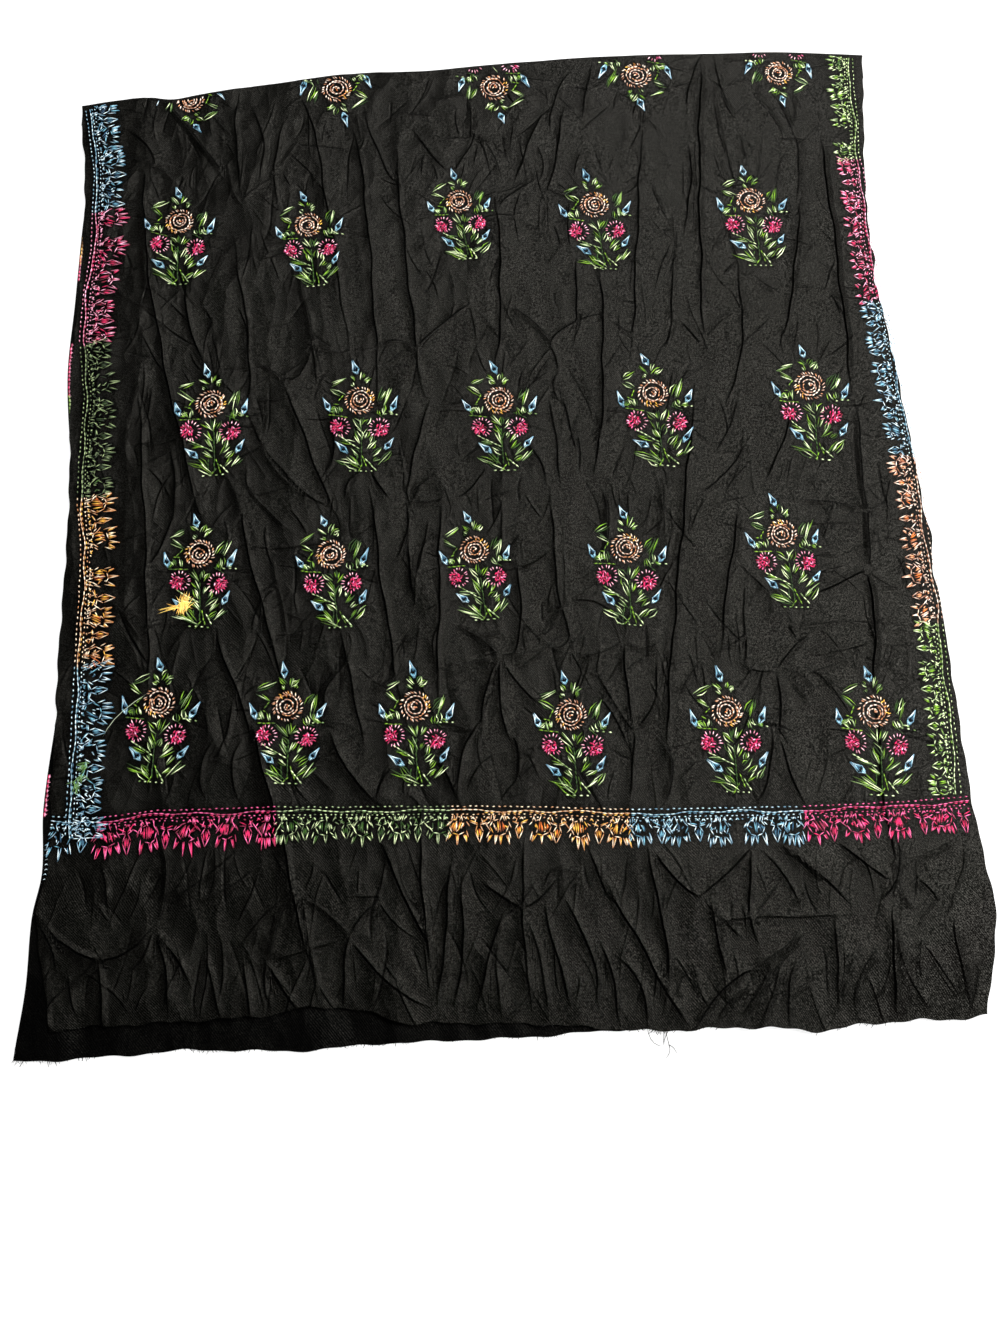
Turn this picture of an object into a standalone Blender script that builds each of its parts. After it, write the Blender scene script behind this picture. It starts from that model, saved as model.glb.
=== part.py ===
"""Embroidered wool stole: one length of black twill, folded once across and laid flat.

The fold is the far edge (+Y) and both cut ends lie together at the near edge. The upper stretch
turns down at the fold and carries the creases of a cloth that was kept folded small. The lower
stretch lies flat and shows below the upper hem and along the left edge. Both ends are cut and
frayed, not hemmed. X runs across the cloth, Y along it, Z up, with the origin under its middle.
"""

import math
from collections import namedtuple

import bmesh
import bpy
from mathutils import Vector

# Sizes below are in millimetres, and a mesh is made in metres.
MM = 0.001

# Cloth thickness, and the air that stays between two pieces
WALL = 1.2
SEAM_GAP = 0.35
LAYER_GAP = 1.0

# Level of the upper stretch's outer face where it lies lowest: over the lower stretch
UPPER_LEVEL = WALL + LAYER_GAP + WALL

# The fold's underside ends on a straight seam line across the cloth
SEAM_Y_AT_MIDDLE = 472.0
SEAM_SLOPE = 0.072

# Grid of a stretch: columns across, rows along
COLUMNS = 52
UPPER_ROWS = 31
TURN_ROWS = 4
LOWER_HEM_ROWS = 4
LOWER_ROWS = 3
HEM_STRIP = 10.0

# The creased cloth's own fullness
FULLNESS = 2.0
WAVE_HEIGHT = 1.3
WAVE_ACROSS = 165.0
WAVE_ALONG = 260.0
BLEND_POWER = 3.0
SIDE_EASE = 30.0
SIDE_SHARE = 0.35

# Ripples of the lower hem die out under the upper stretch
RIPPLE_FULL = 30.0
RIPPLE_END = 80.0

# Frayed ends: teeth of loose threads, on a narrow strip
FRAY_WALL = 0.9
FRAY_DROOP = 0.4
FRAY_LIFT = 0.3
FRAY_REACH = 6.0
TOOTH_PITCH = 9.0
STRIP_WIDTH = 1.4

BLACK_TWILL = (0.017, 0.016, 0.015, 1.0)
BLACK_YARN = (0.012, 0.012, 0.012, 1.0)

# Side edges of both stretches, at stations along Y
Sides = namedtuple("Sides", "y upper_left upper_right lower_left lower_right")
SIDES = [
    Sides(-532, -380, 430, -419, 425),
    Sides(-470, -397, 445, -412, 440),
    Sides(-410, -411, 457, -414, 453),
    Sides(-370, -405, 454, -411, 449),
    Sides(-310, -407, 447, -416, 442),
    Sides(-190, -415, 441, -412, 436),
    Sides(-20, -421, 430, -418, 425),
    Sides(130, -430, 417, -435, 412),
    Sides(220, -431, 408, -436, 403),
    Sides(300, -434, 403, -437, 398),
    Sides(380, -441, 405, -438, 400),
    Sides(450, -453, 410, -449, 405),
    Sides(535, -460, 416, -455, 411),
]

# Cut ends and the fold, at stations along X
Ends = namedtuple("Ends", "x upper_hem lower_hem fold")
ENDS = [
    Ends(-460, -504, -526, 462),
    Ends(-385, -502, -526, 472),
    Ends(-330, -498, -521, 479),
    Ends(-260, -490, -516, 490),
    Ends(-170, -483, -517, 503),
    Ends(-100, -487, -511, 508),
    Ends(-50, -495, -508, 511),
    Ends(35, -495, -506, 519),
    Ends(120, -498, -499, 525),
    Ends(200, -499, -492, 531),
    Ends(290, -502, -493, 532),
    Ends(360, -492, -484, 530),
    Ends(440, -486, -478, 528),
]

# Creases of the upper stretch: three points of the crest, its height, and the width of each flank,
# left or right of someone who walks from the first point to the last
Crease = namedtuple("Crease", "x1 y1 x2 y2 x3 y3 height left right")
CREASES = [
    Crease(-290, -20, -355, 220, -375, 370, 7.0, 22, 34),
    Crease(-300, 150, -315, 190, -320, 235, 5.0, 18, 22),
    Crease(-325, -200, -340, -50, -360, 105, 6.0, 26, 30),
    Crease(-295, 370, -320, 410, -365, 470, 6.0, 34, 26),
    Crease(-145, 145, -185, 380, -210, 470, 4.0, 30, 38),
    Crease(-170, 115, -195, 205, -200, 250, 4.0, 28, 20),
    Crease(-250, 100, -250, 160, -275, 290, 3.5, 22, 32),
    Crease(-250, 160, -205, 125, -185, 170, 3.0, 20, 20),
    Crease(-115, 100, -130, 290, -150, 425, 4.0, 20, 34),
    Crease(-70, 110, -90, 265, -105, 405, 4.0, 20, 34),
    Crease(5, 145, 10, 230, 5, 340, 5.0, 18, 44),
    Crease(85, 165, 90, 215, 90, 260, 4.0, 20, 34),
    Crease(105, 25, 115, 125, 115, 280, 4.5, 20, 40),
    Crease(145, 145, 155, 290, 165, 430, 3.5, 20, 34),
    Crease(220, 160, 225, 365, 235, 525, 5.0, 18, 34),
    Crease(240, 95, 260, 170, 260, 280, 3.5, 20, 34),
    Crease(300, 165, 320, 250, 330, 335, 5.0, 22, 30),
    Crease(370, 105, 365, 290, 360, 415, 7.0, 26, 32),
    Crease(370, -80, 370, -15, 370, 105, 7.0, 32, 30),
    Crease(365, -200, 370, -135, 370, -80, 7.0, 20, 32),
    Crease(370, -360, 365, -300, 365, -200, 5.0, 18, 30),
    Crease(310, -105, 345, -90, 370, -80, 5.0, 40, 20),
    Crease(-155, -20, -180, 40, -215, 125, 4.0, 20, 24),
    Crease(-190, -210, -230, -90, -250, -5, 5.0, 22, 28),
    Crease(-85, -210, -105, -100, -120, 5, 4.5, 20, 30),
    Crease(-50, -210, -50, -110, -50, -5, 4.0, 18, 38),
    Crease(20, -170, 30, -120, 25, -70, 4.0, 22, 34),
    Crease(80, -165, 65, -90, 60, 5, 3.5, 20, 26),
    Crease(165, -250, 180, -110, 210, 120, 6.0, 22, 42),
    Crease(210, 0, 235, 20, 260, 60, 4.0, 20, 20),
    Crease(220, -165, 235, -75, 245, -20, 5.0, 20, 26),
    Crease(-155, -470, -205, -295, -225, -235, 7.0, 26, 38),
    Crease(-225, -245, -245, -190, -265, -145, 5.0, 20, 26),
    Crease(-55, -435, -80, -385, -100, -345, 5.0, 20, 26),
    Crease(-410, -410, -350, -445, -300, -415, 6.0, 42, 18),
    Crease(-135, -485, -130, -455, -125, -425, 4.0, 20, 20),
    Crease(30, -485, 30, -395, 30, -345, 4.0, 20, 22),
    Crease(175, -490, 135, -435, 100, -365, 4.5, 20, 24),
    Crease(150, -350, 195, -385, 240, -345, 5.0, 34, 18),
    Crease(265, -345, 295, -365, 325, -395, 4.5, 26, 20),
    Crease(180, -490, 205, -470, 235, -455, 5.0, 22, 20),
    Crease(360, -480, 360, -445, 365, -405, 6.0, 18, 28),
    Crease(275, -180, 290, -160, 310, -145, 4.0, 20, 20),
    Crease(10, -245, 5, -205, 10, -165, 4.0, 20, 20),
]

# Ripples across the lower hem
Ripple = namedtuple("Ripple", "x height half_width")
RIPPLES = [
    Ripple(-385, 2.5, 30),
    Ripple(-305, 2.5, 34),
    Ripple(-236, 3.0, 34),
    Ripple(-150, 3.0, 38),
    Ripple(-75, 2.5, 32),
    Ripple(0, 2.0, 34),
]


def between(low, high, share):
    return low + (high - low) * share


def ease(share):
    """Rises smoothly from 0 to 1 as share does."""
    share = min(1.0, max(0.0, share))
    return share * share * (3.0 - 2.0 * share)


def along(table, key, column, at):
    """Reads a column of a table at a station, on a smooth curve through the rows."""
    last = len(table) - 2
    row = 0
    while row < last and getattr(table[row + 1], key) < at:
        row += 1
    rows = [table[max(0, min(len(table) - 1, row + step))] for step in (-1, 0, 1, 2)]
    before, start, end, after = [(getattr(r, key), getattr(r, column)) for r in rows]
    span = end[0] - start[0]
    share = min(1.0, max(0.0, (at - start[0]) / span))
    slope_in = (end[1] - before[1]) / (end[0] - before[0]) * span
    slope_out = (after[1] - start[1]) / (after[0] - start[0]) * span
    square, cube = share**2, share**3
    return (
        (2 * cube - 3 * square + 1) * start[1]
        + (cube - 2 * square + share) * slope_in
        + (3 * square - 2 * cube) * end[1]
        + (cube - square) * slope_out
    )


def seam_y(x):
    return SEAM_Y_AT_MIDDLE + SEAM_SLOPE * x


def place(across, share, stretch, near, far):
    """Plan position on a stretch, from shares across and along it, between two end lines."""
    guess_x = between(-420.0, 430.0, across)
    y = between(near(guess_x), far(guess_x), share)
    left = along(SIDES, "y", stretch + "_left", y)
    right = along(SIDES, "y", stretch + "_right", y)
    x = between(left, right, across)
    return x, between(near(x), far(x), share)


def upper_hem(x):
    return along(ENDS, "x", "upper_hem", x)


def lower_hem(x):
    return along(ENDS, "x", "lower_hem", x)


def fold_line(x):
    return along(ENDS, "x", "fold", x)


def crest_share(crease, x, y):
    """How much of a crease's height is felt at a point: 1 on its crest, 0 past its flanks."""
    best = 0.0
    runs = (
        (crease.x1, crease.y1, crease.x2, crease.y2, 0.0),
        (crease.x2, crease.y2, crease.x3, crease.y3, 0.5),
    )
    for start_x, start_y, end_x, end_y, travelled in runs:
        run_x, run_y = end_x - start_x, end_y - start_y
        share = ((x - start_x) * run_x + (y - start_y) * run_y) / (run_x**2 + run_y**2)
        share = min(1.0, max(0.0, share))
        off_x = x - start_x - share * run_x
        off_y = y - start_y - share * run_y
        flank = crease.left if run_x * off_y - run_y * off_x > 0 else crease.right
        distance = math.hypot(off_x, off_y) / flank
        progress = travelled + 0.5 * share
        taper = between(0.3, 1.0, ease(6.0 * min(progress, 1.0 - progress)))
        if distance < 1.0:
            best = max(best, taper * (1.0 - distance) ** 1.4)
    return best


def ripple_lift(x, y):
    """Height of the lower hem's ripples, which lift both stretches."""
    from_hem = y - lower_hem(x)
    fade = 1.0 - ease((from_hem - RIPPLE_FULL) / (RIPPLE_END - RIPPLE_FULL))
    lift = 0.0
    for ripple in RIPPLES:
        away = abs(x - ripple.x) / ripple.half_width
        if away < 1.0:
            lift += ripple.height * (0.5 + 0.5 * math.cos(math.pi * away))
    return lift * fade


def upper_height(x, y):
    """Level of the upper stretch's outer face, level along Y within a narrow strip at the hem."""
    y = max(y, upper_hem(x) + HEM_STRIP + 1.0)
    crests = sum((c.height * crest_share(c, x, y)) ** BLEND_POWER for c in CREASES)
    waves = math.sin(2 * math.pi * x / WAVE_ACROSS + y / WAVE_ALONG)
    waves *= math.cos(2 * math.pi * y / WAVE_ALONG)
    puff = FULLNESS + WAVE_HEIGHT * waves + crests ** (1.0 / BLEND_POWER)
    left = x - along(SIDES, "y", "upper_left", y)
    right = along(SIDES, "y", "upper_right", y) - x
    side = between(SIDE_SHARE, 1.0, ease(min(left, right) / SIDE_EASE))
    return UPPER_LEVEL + ripple_lift(x, y) + side * puff


def upper_point(across, row):
    """Outer face of the upper stretch: up the cloth to the fold, round it and back underneath."""
    if row <= UPPER_ROWS + 1:
        x, y = upper_plan(across, row)
        return x, y, upper_height(x, y)
    x, start_y = upper_plan(across, UPPER_ROWS + 1)
    radius = upper_height(x, start_y) / 2
    turned = min(row - UPPER_ROWS - 1, TURN_ROWS) / TURN_ROWS * math.pi
    if row <= UPPER_ROWS + 1 + TURN_ROWS:
        reach = fold_line(x) - start_y
        return x, start_y + reach * math.sin(turned), radius * (1 + math.cos(turned))
    return x, seam_y(x), 0.0


def upper_plan(across, row):
    """Plan position of a row: a narrow strip at the hem, then even rows up to the fold's turn."""
    def turn_line(x):
        return fold_line(x) - 3.0

    if row == 0:
        return place(across, 0.0, "upper", upper_hem, turn_line)
    share = (row - 1) / UPPER_ROWS

    def strip_line(x):
        return upper_hem(x) + HEM_STRIP

    return place(across, share, "upper", strip_line, turn_line)


def lower_point(across, row):
    """Upper face of the lower stretch, from its hem to the seam line under the fold."""
    def ripple_line(x):
        return lower_hem(x) + RIPPLE_END

    def seam_line(x):
        return seam_y(x) - SEAM_GAP

    if row <= LOWER_HEM_ROWS:
        x, y = place(across, row / LOWER_HEM_ROWS, "lower", lower_hem, ripple_line)
    else:
        share = (row - LOWER_HEM_ROWS) / LOWER_ROWS
        x, y = place(across, share, "lower", ripple_line, seam_line)
    return x, y, WALL + ripple_lift(x, y)


def cloth_object(name, columns, rows, point, wall, material, collection):
    """A grid whose vertices are moved onto a surface, thickened inwards to a wall."""
    mesh = bpy.data.meshes.new(name)
    grid = bmesh.new()
    bmesh.ops.create_grid(grid, x_segments=columns, y_segments=rows, size=0.5)
    for vertex in grid.verts:
        across = vertex.co.x + 0.5
        row = round((vertex.co.y + 0.5) * rows)
        x, y, z = point(across, row)
        vertex.co = (x * MM, y * MM, z * MM)
    grid.to_mesh(mesh)
    grid.free()
    mesh.materials.append(material)
    cloth = bpy.data.objects.new(name, mesh)
    collection.objects.link(cloth)
    thicken = cloth.modifiers.new("wall", "SOLIDIFY")
    thicken.thickness = wall * MM
    thicken.offset = -1.0
    return cloth


def fray_object(name, stretch, hem, level, material, collection):
    """Teeth of loose threads along a cut end, fused to a narrow strip just off the cloth's edge."""
    left = along(SIDES, "y", stretch + "_left", hem(-400.0))
    right = along(SIDES, "y", stretch + "_right", hem(430.0))
    if stretch == "lower":
        right = 130.0
    teeth = round((right - left) / TOOTH_PITCH)

    def fray_point(across, row):
        x = between(left + 1.0, right - 1.0, across)
        root = hem(x) - SEAM_GAP
        tooth = round(across * teeth * 2)
        if row == 1:
            return x, root, level(x)
        if tooth % 2 == 0:
            return x, root - STRIP_WIDTH, level(x)
        reach = FRAY_REACH * (0.8 + 0.35 * math.sin(2.3 * tooth) + 0.2 * math.sin(0.7 * tooth))
        lean = 1.6 * math.sin(1.1 * tooth)
        return x + lean, root - STRIP_WIDTH - reach, level(x) - FRAY_DROOP

    return cloth_object(name, 2 * teeth, 1, fray_point, FRAY_WALL, material, collection)


def cloth_material(name, colour, roughness):
    material = bpy.data.materials.new(name)
    material.use_nodes = True
    shader = material.node_tree.nodes["Principled BSDF"]
    shader.inputs["Base Color"].default_value = colour
    shader.inputs["Roughness"].default_value = roughness
    shader.inputs["Metallic"].default_value = 0.0
    return material


def upper_hem_level(x):
    return upper_height(x, upper_hem(x))


def lower_hem_level(x):
    """Keeps the lower fray's threads just above what the cloth lies on."""
    return FRAY_LIFT + FRAY_DROOP + FRAY_WALL + ripple_lift(x, lower_hem(x))


def stand_on_origin(pieces):
    """Moves the pieces together so that the middle of their box stands over the origin."""
    graph = bpy.context.evaluated_depsgraph_get()
    corners = [Vector(c) for piece in pieces for c in piece.evaluated_get(graph).bound_box]
    for axis in (0, 1):
        low = min(corner[axis] for corner in corners)
        high = max(corner[axis] for corner in corners)
        for piece in pieces:
            piece.location[axis] = -(low + high) / 2


def build():
    for old in list(bpy.data.objects):
        bpy.data.objects.remove(old, do_unlink=True)
    stole = bpy.data.collections.new("embroidered_stole")
    bpy.context.scene.collection.children.link(stole)
    upper_rows = 1 + UPPER_ROWS + TURN_ROWS + 1
    lower_rows = LOWER_HEM_ROWS + LOWER_ROWS
    upper_cloth = cloth_material("upper_twill", BLACK_TWILL, 0.75)
    lower_cloth = cloth_material("lower_twill", BLACK_TWILL, 0.8)
    upper_yarn = cloth_material("upper_yarn", BLACK_YARN, 0.9)
    lower_yarn = cloth_material("lower_yarn", BLACK_YARN, 0.9)
    pieces = [
        cloth_object("front_stretch", COLUMNS, upper_rows, upper_point, WALL, upper_cloth, stole),
        cloth_object("back_stretch", COLUMNS, lower_rows, lower_point, WALL, lower_cloth, stole),
        fray_object("front_fray", "upper", upper_hem, upper_hem_level, upper_yarn, stole),
        fray_object("back_fray", "lower", lower_hem, lower_hem_level, lower_yarn, stole),
    ]
    stand_on_origin(pieces)


build()
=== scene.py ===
"""Dresses the embroidered wool stole: creased black twill, its bouquets and borders in thread.

Everything is drawn in millimetres in the plane of the laid cloth, X across it and Y along it.
Where an object is made, it moves so that the middle of the part's box stands over the origin.
"""

import math
from collections import namedtuple

import bpy
import numpy as np
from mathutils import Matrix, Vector


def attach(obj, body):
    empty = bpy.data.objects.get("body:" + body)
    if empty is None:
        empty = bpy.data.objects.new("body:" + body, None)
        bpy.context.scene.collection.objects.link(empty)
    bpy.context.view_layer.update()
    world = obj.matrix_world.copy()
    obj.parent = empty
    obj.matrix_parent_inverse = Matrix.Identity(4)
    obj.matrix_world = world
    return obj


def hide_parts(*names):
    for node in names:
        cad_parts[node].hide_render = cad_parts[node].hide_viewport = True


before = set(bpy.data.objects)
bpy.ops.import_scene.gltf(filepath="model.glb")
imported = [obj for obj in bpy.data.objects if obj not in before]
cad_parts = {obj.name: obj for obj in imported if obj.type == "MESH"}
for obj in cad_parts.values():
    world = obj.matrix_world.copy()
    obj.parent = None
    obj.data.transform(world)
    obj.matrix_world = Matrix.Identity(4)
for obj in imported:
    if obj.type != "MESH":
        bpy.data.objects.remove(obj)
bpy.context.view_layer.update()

MM = 0.001

# Middle of the part's box, in the coordinates that the tables are drawn in
MIDDLE_X = 1.1
MIDDLE_Y = -1.6

# Flat size of the cut in metres: its width, and the lengths of the two stretches
CUT_WIDTH = 0.91
FRONT_LENGTH = 1.03
BACK_LENGTH = 1.02

# Level of the lower stretch's face, lowest level of the upper one's, and the seam under the fold
WALL = 1.2
UPPER_LEVEL = 3.4
SEAM_Y_AT_MIDDLE = 472.0
SEAM_SLOPE = 0.072
SEAM_GAP = 0.35

# The upper stretch's own fullness and slow waves, and how it comes down at its sides
FULLNESS = 1.8
WAVE_HEIGHT = 0.9
WAVE_ACROSS = 165.0
WAVE_ALONG = 260.0
SIDE_EASE = 30.0
SIDE_SHARE = 0.35
LOWEST_PUFF = 0.2

# How far from the lower hem its ripples are full, and where they end
RIPPLE_FULL = 30.0
RIPPLE_END = 80.0

# Photograph: height and focal length in pixels; the camera's tilt, how far it stands from the
# point that it looks at, and where that is
PHOTO_HEIGHT = 1333.0
FOCAL = 1000.0
TILT = math.radians(13.5)
DISTANCE = 957.0
LOOKED_AT = (8.4, -177.0, 5.0)


def table(fields, *rows):
    """Records with named fields, one for each row of values."""
    record = namedtuple("Record", fields)
    return [record(*row) for row in rows]


# Side edges of both stretches, at stations along Y
SIDES = table(
    "y upper_left upper_right lower_left lower_right",
    (-532, -380, 430, -419, 425), (-470, -397, 445, -415, 440), (-410, -411, 457, -416, 453),
    (-370, -405, 454, -411, 449), (-310, -407, 447, -416, 442), (-190, -415, 441, -412, 436),
    (-20, -421, 431, -418, 426), (130, -433, 418, -438, 413), (220, -434, 408, -439, 403),
    (300, -437, 403, -440, 398), (380, -443, 405, -440, 400), (450, -453, 410, -449, 405),
    (535, -460, 416, -455, 411),
)

# Small bumps, outwards, and hollows in the upper stretch's side edges
EDGE_BUMPS = table(
    "hand y reach half_width",
    ("right", 334, 1.5, 14), ("right", 272, 3.0, 18), ("right", 242, -3.5, 18),
    ("right", -43, 3.0, 18), ("right", -85, -2.5, 16), ("right", -131, 1.5, 16),
    ("left", -225, -2.0, 14), ("left", -302, 3.0, 20), ("left", -335, -3.0, 16),
    ("left", -359, 2.0, 14),
)

# Cut ends and the fold, at stations along X
ENDS = table(
    "x upper_hem lower_hem fold",
    (-460, -511, -534, 462), (-385, -506, -532, 473), (-357, -504, -530, 470),
    (-324, -502, -528, 477), (-291, -500, -525, 484), (-260, -498, -523, 489),
    (-191, -493, -524, 500), (-170, -488, -524, 503), (-133, -487, -521, 506),
    (-100, -493, -518, 508), (-75, -500, -517, 509), (-50, -500, -516, 511), (42, -501, -512, 521),
    (76, -503, -509, 525), (109, -505, -507, 527), (143, -507, -503, 528), (200, -505, -498, 531),
    (245, -504, -497, 532), (290, -507, -499, 533), (325, -502, -493, 533), (378, -498, -490, 532),
    (412, -497, -485, 531), (440, -494, -482, 529),
)

# Ripples across the lower hem
RIPPLES = table(
    "x height half_width",
    (-385, 2.5, 30), (-305, 2.5, 34), (-236, 3.0, 34), (-150, 3.0, 38), (-75, 2.5, 32),
    (0, 2.0, 34),
)

# Bouquets, row by row: middle of the rose, size against the pattern's own, and lean in degrees
BOUQUET_ROWS = (
    (
        (-334, 467, 1.05, 190), (-173, 482, 1.15, 190), (2, 484, 1.12, 187), (160, 500, 1.15, 182),
        (319, 503, 1.08, 180),
    ),
    (
        (-335, 313, 1.05, 2), (-197, 309, 1.02, 8), (-36, 338, 0.98, 7), (110, 334, 1.08, 7),
        (278, 339, 1.07, 4),
    ),
    (
        (-287, 99, 1.09, 6), (-135, 103, 1.08, 3), (7, 103, 1.06, 4), (165, 111, 1.11, 6),
        (326, 119, 1.11, 2),
    ),
    (
        (-287, -63, 1.03, 3), (-158, -64, 1.03, 8), (-17, -59, 1.00, 9), (133, -57, 1.09, 0),
        (287, -42, 1.04, 6),
    ),
    (
        (-315, -212, 1.04, -2), (-193, -216, 1.01, 2), (-72, -216, 1.03, 2), (75, -224, 1.05, 3),
        (223, -221, 1.04, 5), (362, -221, 1.07, 1),
    ),
)
BOUQUETS = table(
    "name x y size lean",
    *((f"row{number}_{letter}", *spot)
      for number, spots in enumerate(BOUQUET_ROWS, 1) for letter, spot in zip("abcdef", spots)),
)

# One bouquet, in its own millimetres from the middle of its rose: buds and leaves from base to
# tip with half their width, and sprigs and running lines of plain stitches with their width
BOUQUET_SHAPES = table(
    "kind x1 y1 x2 y2 half tone",
    ("bud", -1, 28, -5, 42, 4.2, "sky"), ("bud", -29, -11, -34, 4, 3.6, "sky"),
    ("bud", 28, -14, 36, 1, 3.8, "sky"), ("bud", -12, -54, -24, -43, 4.2, "sky"),
    ("bud", 21, -52, 30, -40, 3.6, "sky"), ("leaf", -12, 24, -29, 16, 1.7, "light_leaf"),
    ("leaf", -15, 5, -29, 15, 1.8, "light_leaf"), ("sprig", -16, 6, -21, -1, 1.1, "leaf"),
    ("leaf", -2, 21, -9, 28, 1.2, "leaf"), ("leaf", 1, 20, 6, 30, 1.8, "leaf"),
    ("leaf", 3, 20, 11, 24, 1.6, "light_leaf"), ("leaf", 5, 17, 9, 22, 1.2, "leaf"),
    ("leaf", -3, 16, -7, 20, 1.4, "light_leaf"), ("sprig", -11, -16, -29, -14, 1.2, "leaf"),
    ("leaf", -21, -7, -30, -11, 1.5, "leaf"), ("leaf", -21, -13, -25, -5, 1.5, "leaf"),
    ("leaf", -17, -13, -18, -4, 1.4, "light_leaf"), ("leaf", -24, -13, -28, -6, 1.2, "dark_leaf"),
    ("sprig", -19, -4, -24, -3, 1.1, "leaf"), ("leaf", 17, -3, 26, 11, 2.8, "dark_leaf"),
    ("leaf", 21, -9, 29, 12, 1.2, "leaf"), ("leaf", 17, -9, 19, -18, 2.2, "leaf"),
    ("leaf", 22, -6, 24, -16, 1.6, "light_leaf"), ("running", 22, -15, 38, -17, 1.3, "light_leaf"),
    ("leaf", 25, -13, 31, -16, 1.2, "leaf"), ("sprig", 14, -14, 24, -21, 1.1, "dark_leaf"),
    ("leaf", 1, -29, -9, -17, 2.2, "light_leaf"), ("leaf", 3, -29, 10, -18, 2.0, "leaf"),
    ("leaf", 2, -27, 2, -16, 1.4, "dark_leaf"), ("leaf", 1, -40, -6, -27, 2.0, "leaf"),
    ("leaf", 3, -42, 8, -31, 1.8, "leaf"), ("leaf", 0, -47, -6, -33, 1.4, "light_leaf"),
    ("sprig", 1, -30, 1, -68, 1.2, "dark_leaf"), ("leaf", -6, -46, -22, -41, 1.5, "leaf"),
    ("sprig", -1, -50, -22, -36, 1.1, "light_leaf"), ("leaf", 6, -53, 17, -43, 2.2, "leaf"),
    ("leaf", 9, -46, 13, -37, 1.4, "light_leaf"), ("leaf", 0, -57, -9, -48, 1.8, "light_leaf"),
    ("leaf", 11, -57, 20, -49, 1.5, "leaf"), ("leaf", -2, -68, -14, -54, 1.8, "leaf"),
    ("leaf", 1, -73, -17, -61, 2.4, "light_leaf"), ("leaf", -6, -66, -25, -58, 1.8, "leaf"),
    ("leaf", 15, -67, 28, -54, 2.2, "light_leaf"), ("leaf", 9, -66, 19, -58, 1.4, "leaf"),
    ("sprig", -4, -56, -6, -68, 1.2, "dark_leaf"), ("sprig", 2, -56, 6, -70, 1.2, "leaf"),
    ("sprig", 5, -61, 13, -72, 1.3, "light_leaf"), ("sprig", 2, -66, -3, -73, 1.2, "leaf"),
    ("running", -10, -72, 14, -74, 1.3, "light_leaf"),
)

# How far apart the stitches of a plain line are, and the gap between them
LINE_STEPS = {"sprig": (4.2, -0.5), "running": (5.5, 2.6)}

# The edge thread of a leaf, how many leaves fan out, and how each kind spreads and bows
LEAF_EDGES = {"leaf": "light_leaf", "light_leaf": "leaf", "dark_leaf": "leaf"}
FANNED_LEAVES = 0.45
FANNED_LEAF = (0.25, 1.0, 0.1)
CLOSED_LEAF = (0.6, 0.15, 0.8)

# The rose, and the ray flowers: where each one's middle is, and the angle that it faces
ROSE_RADIUS = 14.8
ROSE_DASHES = 28
ROSE_RINGS = (9.9, 6.5)
ROSE_HEART = 3.3
GOLD_DASHES = ("gold", "pale_gold", "pale_peach")
PEACH_DASHES = ("pale_peach", "peach", "pale_peach")
FLOWER_PLACES = ((-19.5, -26.5, 0.2), (17.5, -30.5, 2.4))
FLOWER_RADIUS = 10.2
BLOB_STITCHES = 22
BLOB_TONES = ("magenta", "hot_pink", "magenta", "deep_magenta", "magenta", "pink")

# Borders: the line of stitches that each follows, and where the thread's colour changes along it,
# how far its flowers reach and how full they are sewn
LEFT_LINE = [
    (-447, 462), (-428, 374), (-426, 325), (-423, 276), (-426, 228), (-425, 174),
    (-413, 105), (-412, 34), (-409, -10), (-401, -55), (-398, -102), (-396, -150),
    (-393, -221), (-391, -265), (-388, -340),
]
RIGHT_LINE = [
    (400, 526), (398, 482), (399, 438), (396, 399), (400, 374), (401, 333),
    (400, 292), (404, 262), (405, 236), (410, 213), (414, 174), (416, 135),
    (419, 100), (423, 65), (427, 20), (428, -34), (430, -76), (433, -118),
    (433, -188), (434, -240), (433, -300),
]
END_LINE = [
    (-407, -323), (-365, -325), (-310, -318), (-206, -315), (-46, -314), (27, -314),
    (128, -317), (288, -314), (380, -310), (444, -305),
]
SECTION = "name thread start end reach fill"
LEFT_SECTIONS = table(
    SECTION,
    ("left_sky", "sky", 462, 325, 35, 0.6), ("left_magenta", "magenta", 325, 166, 36, 0.6),
    ("left_leaf", "fern", 166, -3, 34, 0.35), ("left_gold", "gold", -3, -176, 36, 0.9),
    ("left_sky_low", "sky", -176, -340, 35, 0.35),
)
RIGHT_SECTIONS = table(
    SECTION,
    ("right_leaf", "leaf", 526, 393, 32, 0.9), ("right_magenta", "magenta", 393, 219, 31, 1.0),
    ("right_sky", "sky", 219, 42, 31, 0.6), ("right_peach", "peach", 42, -133, 32, 1.0),
    ("right_leaf_low", "leaf", -133, -300, 31, 0.9),
)
END_SECTIONS = table(
    SECTION,
    ("end_sky", "sky", -407, -364, 36, 0.4), ("end_magenta", "rose", -364, -198, 38, 1.1),
    ("end_leaf", "moss", -198, -38, 33, 0.6), ("end_gold", "gold", -38, 129, 33, 1.0),
    ("end_sky_right", "sky", 129, 288, 33, 0.55), ("end_magenta_right", "rose", 288, 446, 34, 1.35),
)

# The borders: line, side that the flowers lie on, depth, axis that places the sections, sections
BORDERS = (
    (LEFT_LINE, 1, 1.0, 1, LEFT_SECTIONS),
    (RIGHT_LINE, -1, 0.9, 1, RIGHT_SECTIONS),
    (END_LINE, -1, 1.0, 0, END_SECTIONS),
)

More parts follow.
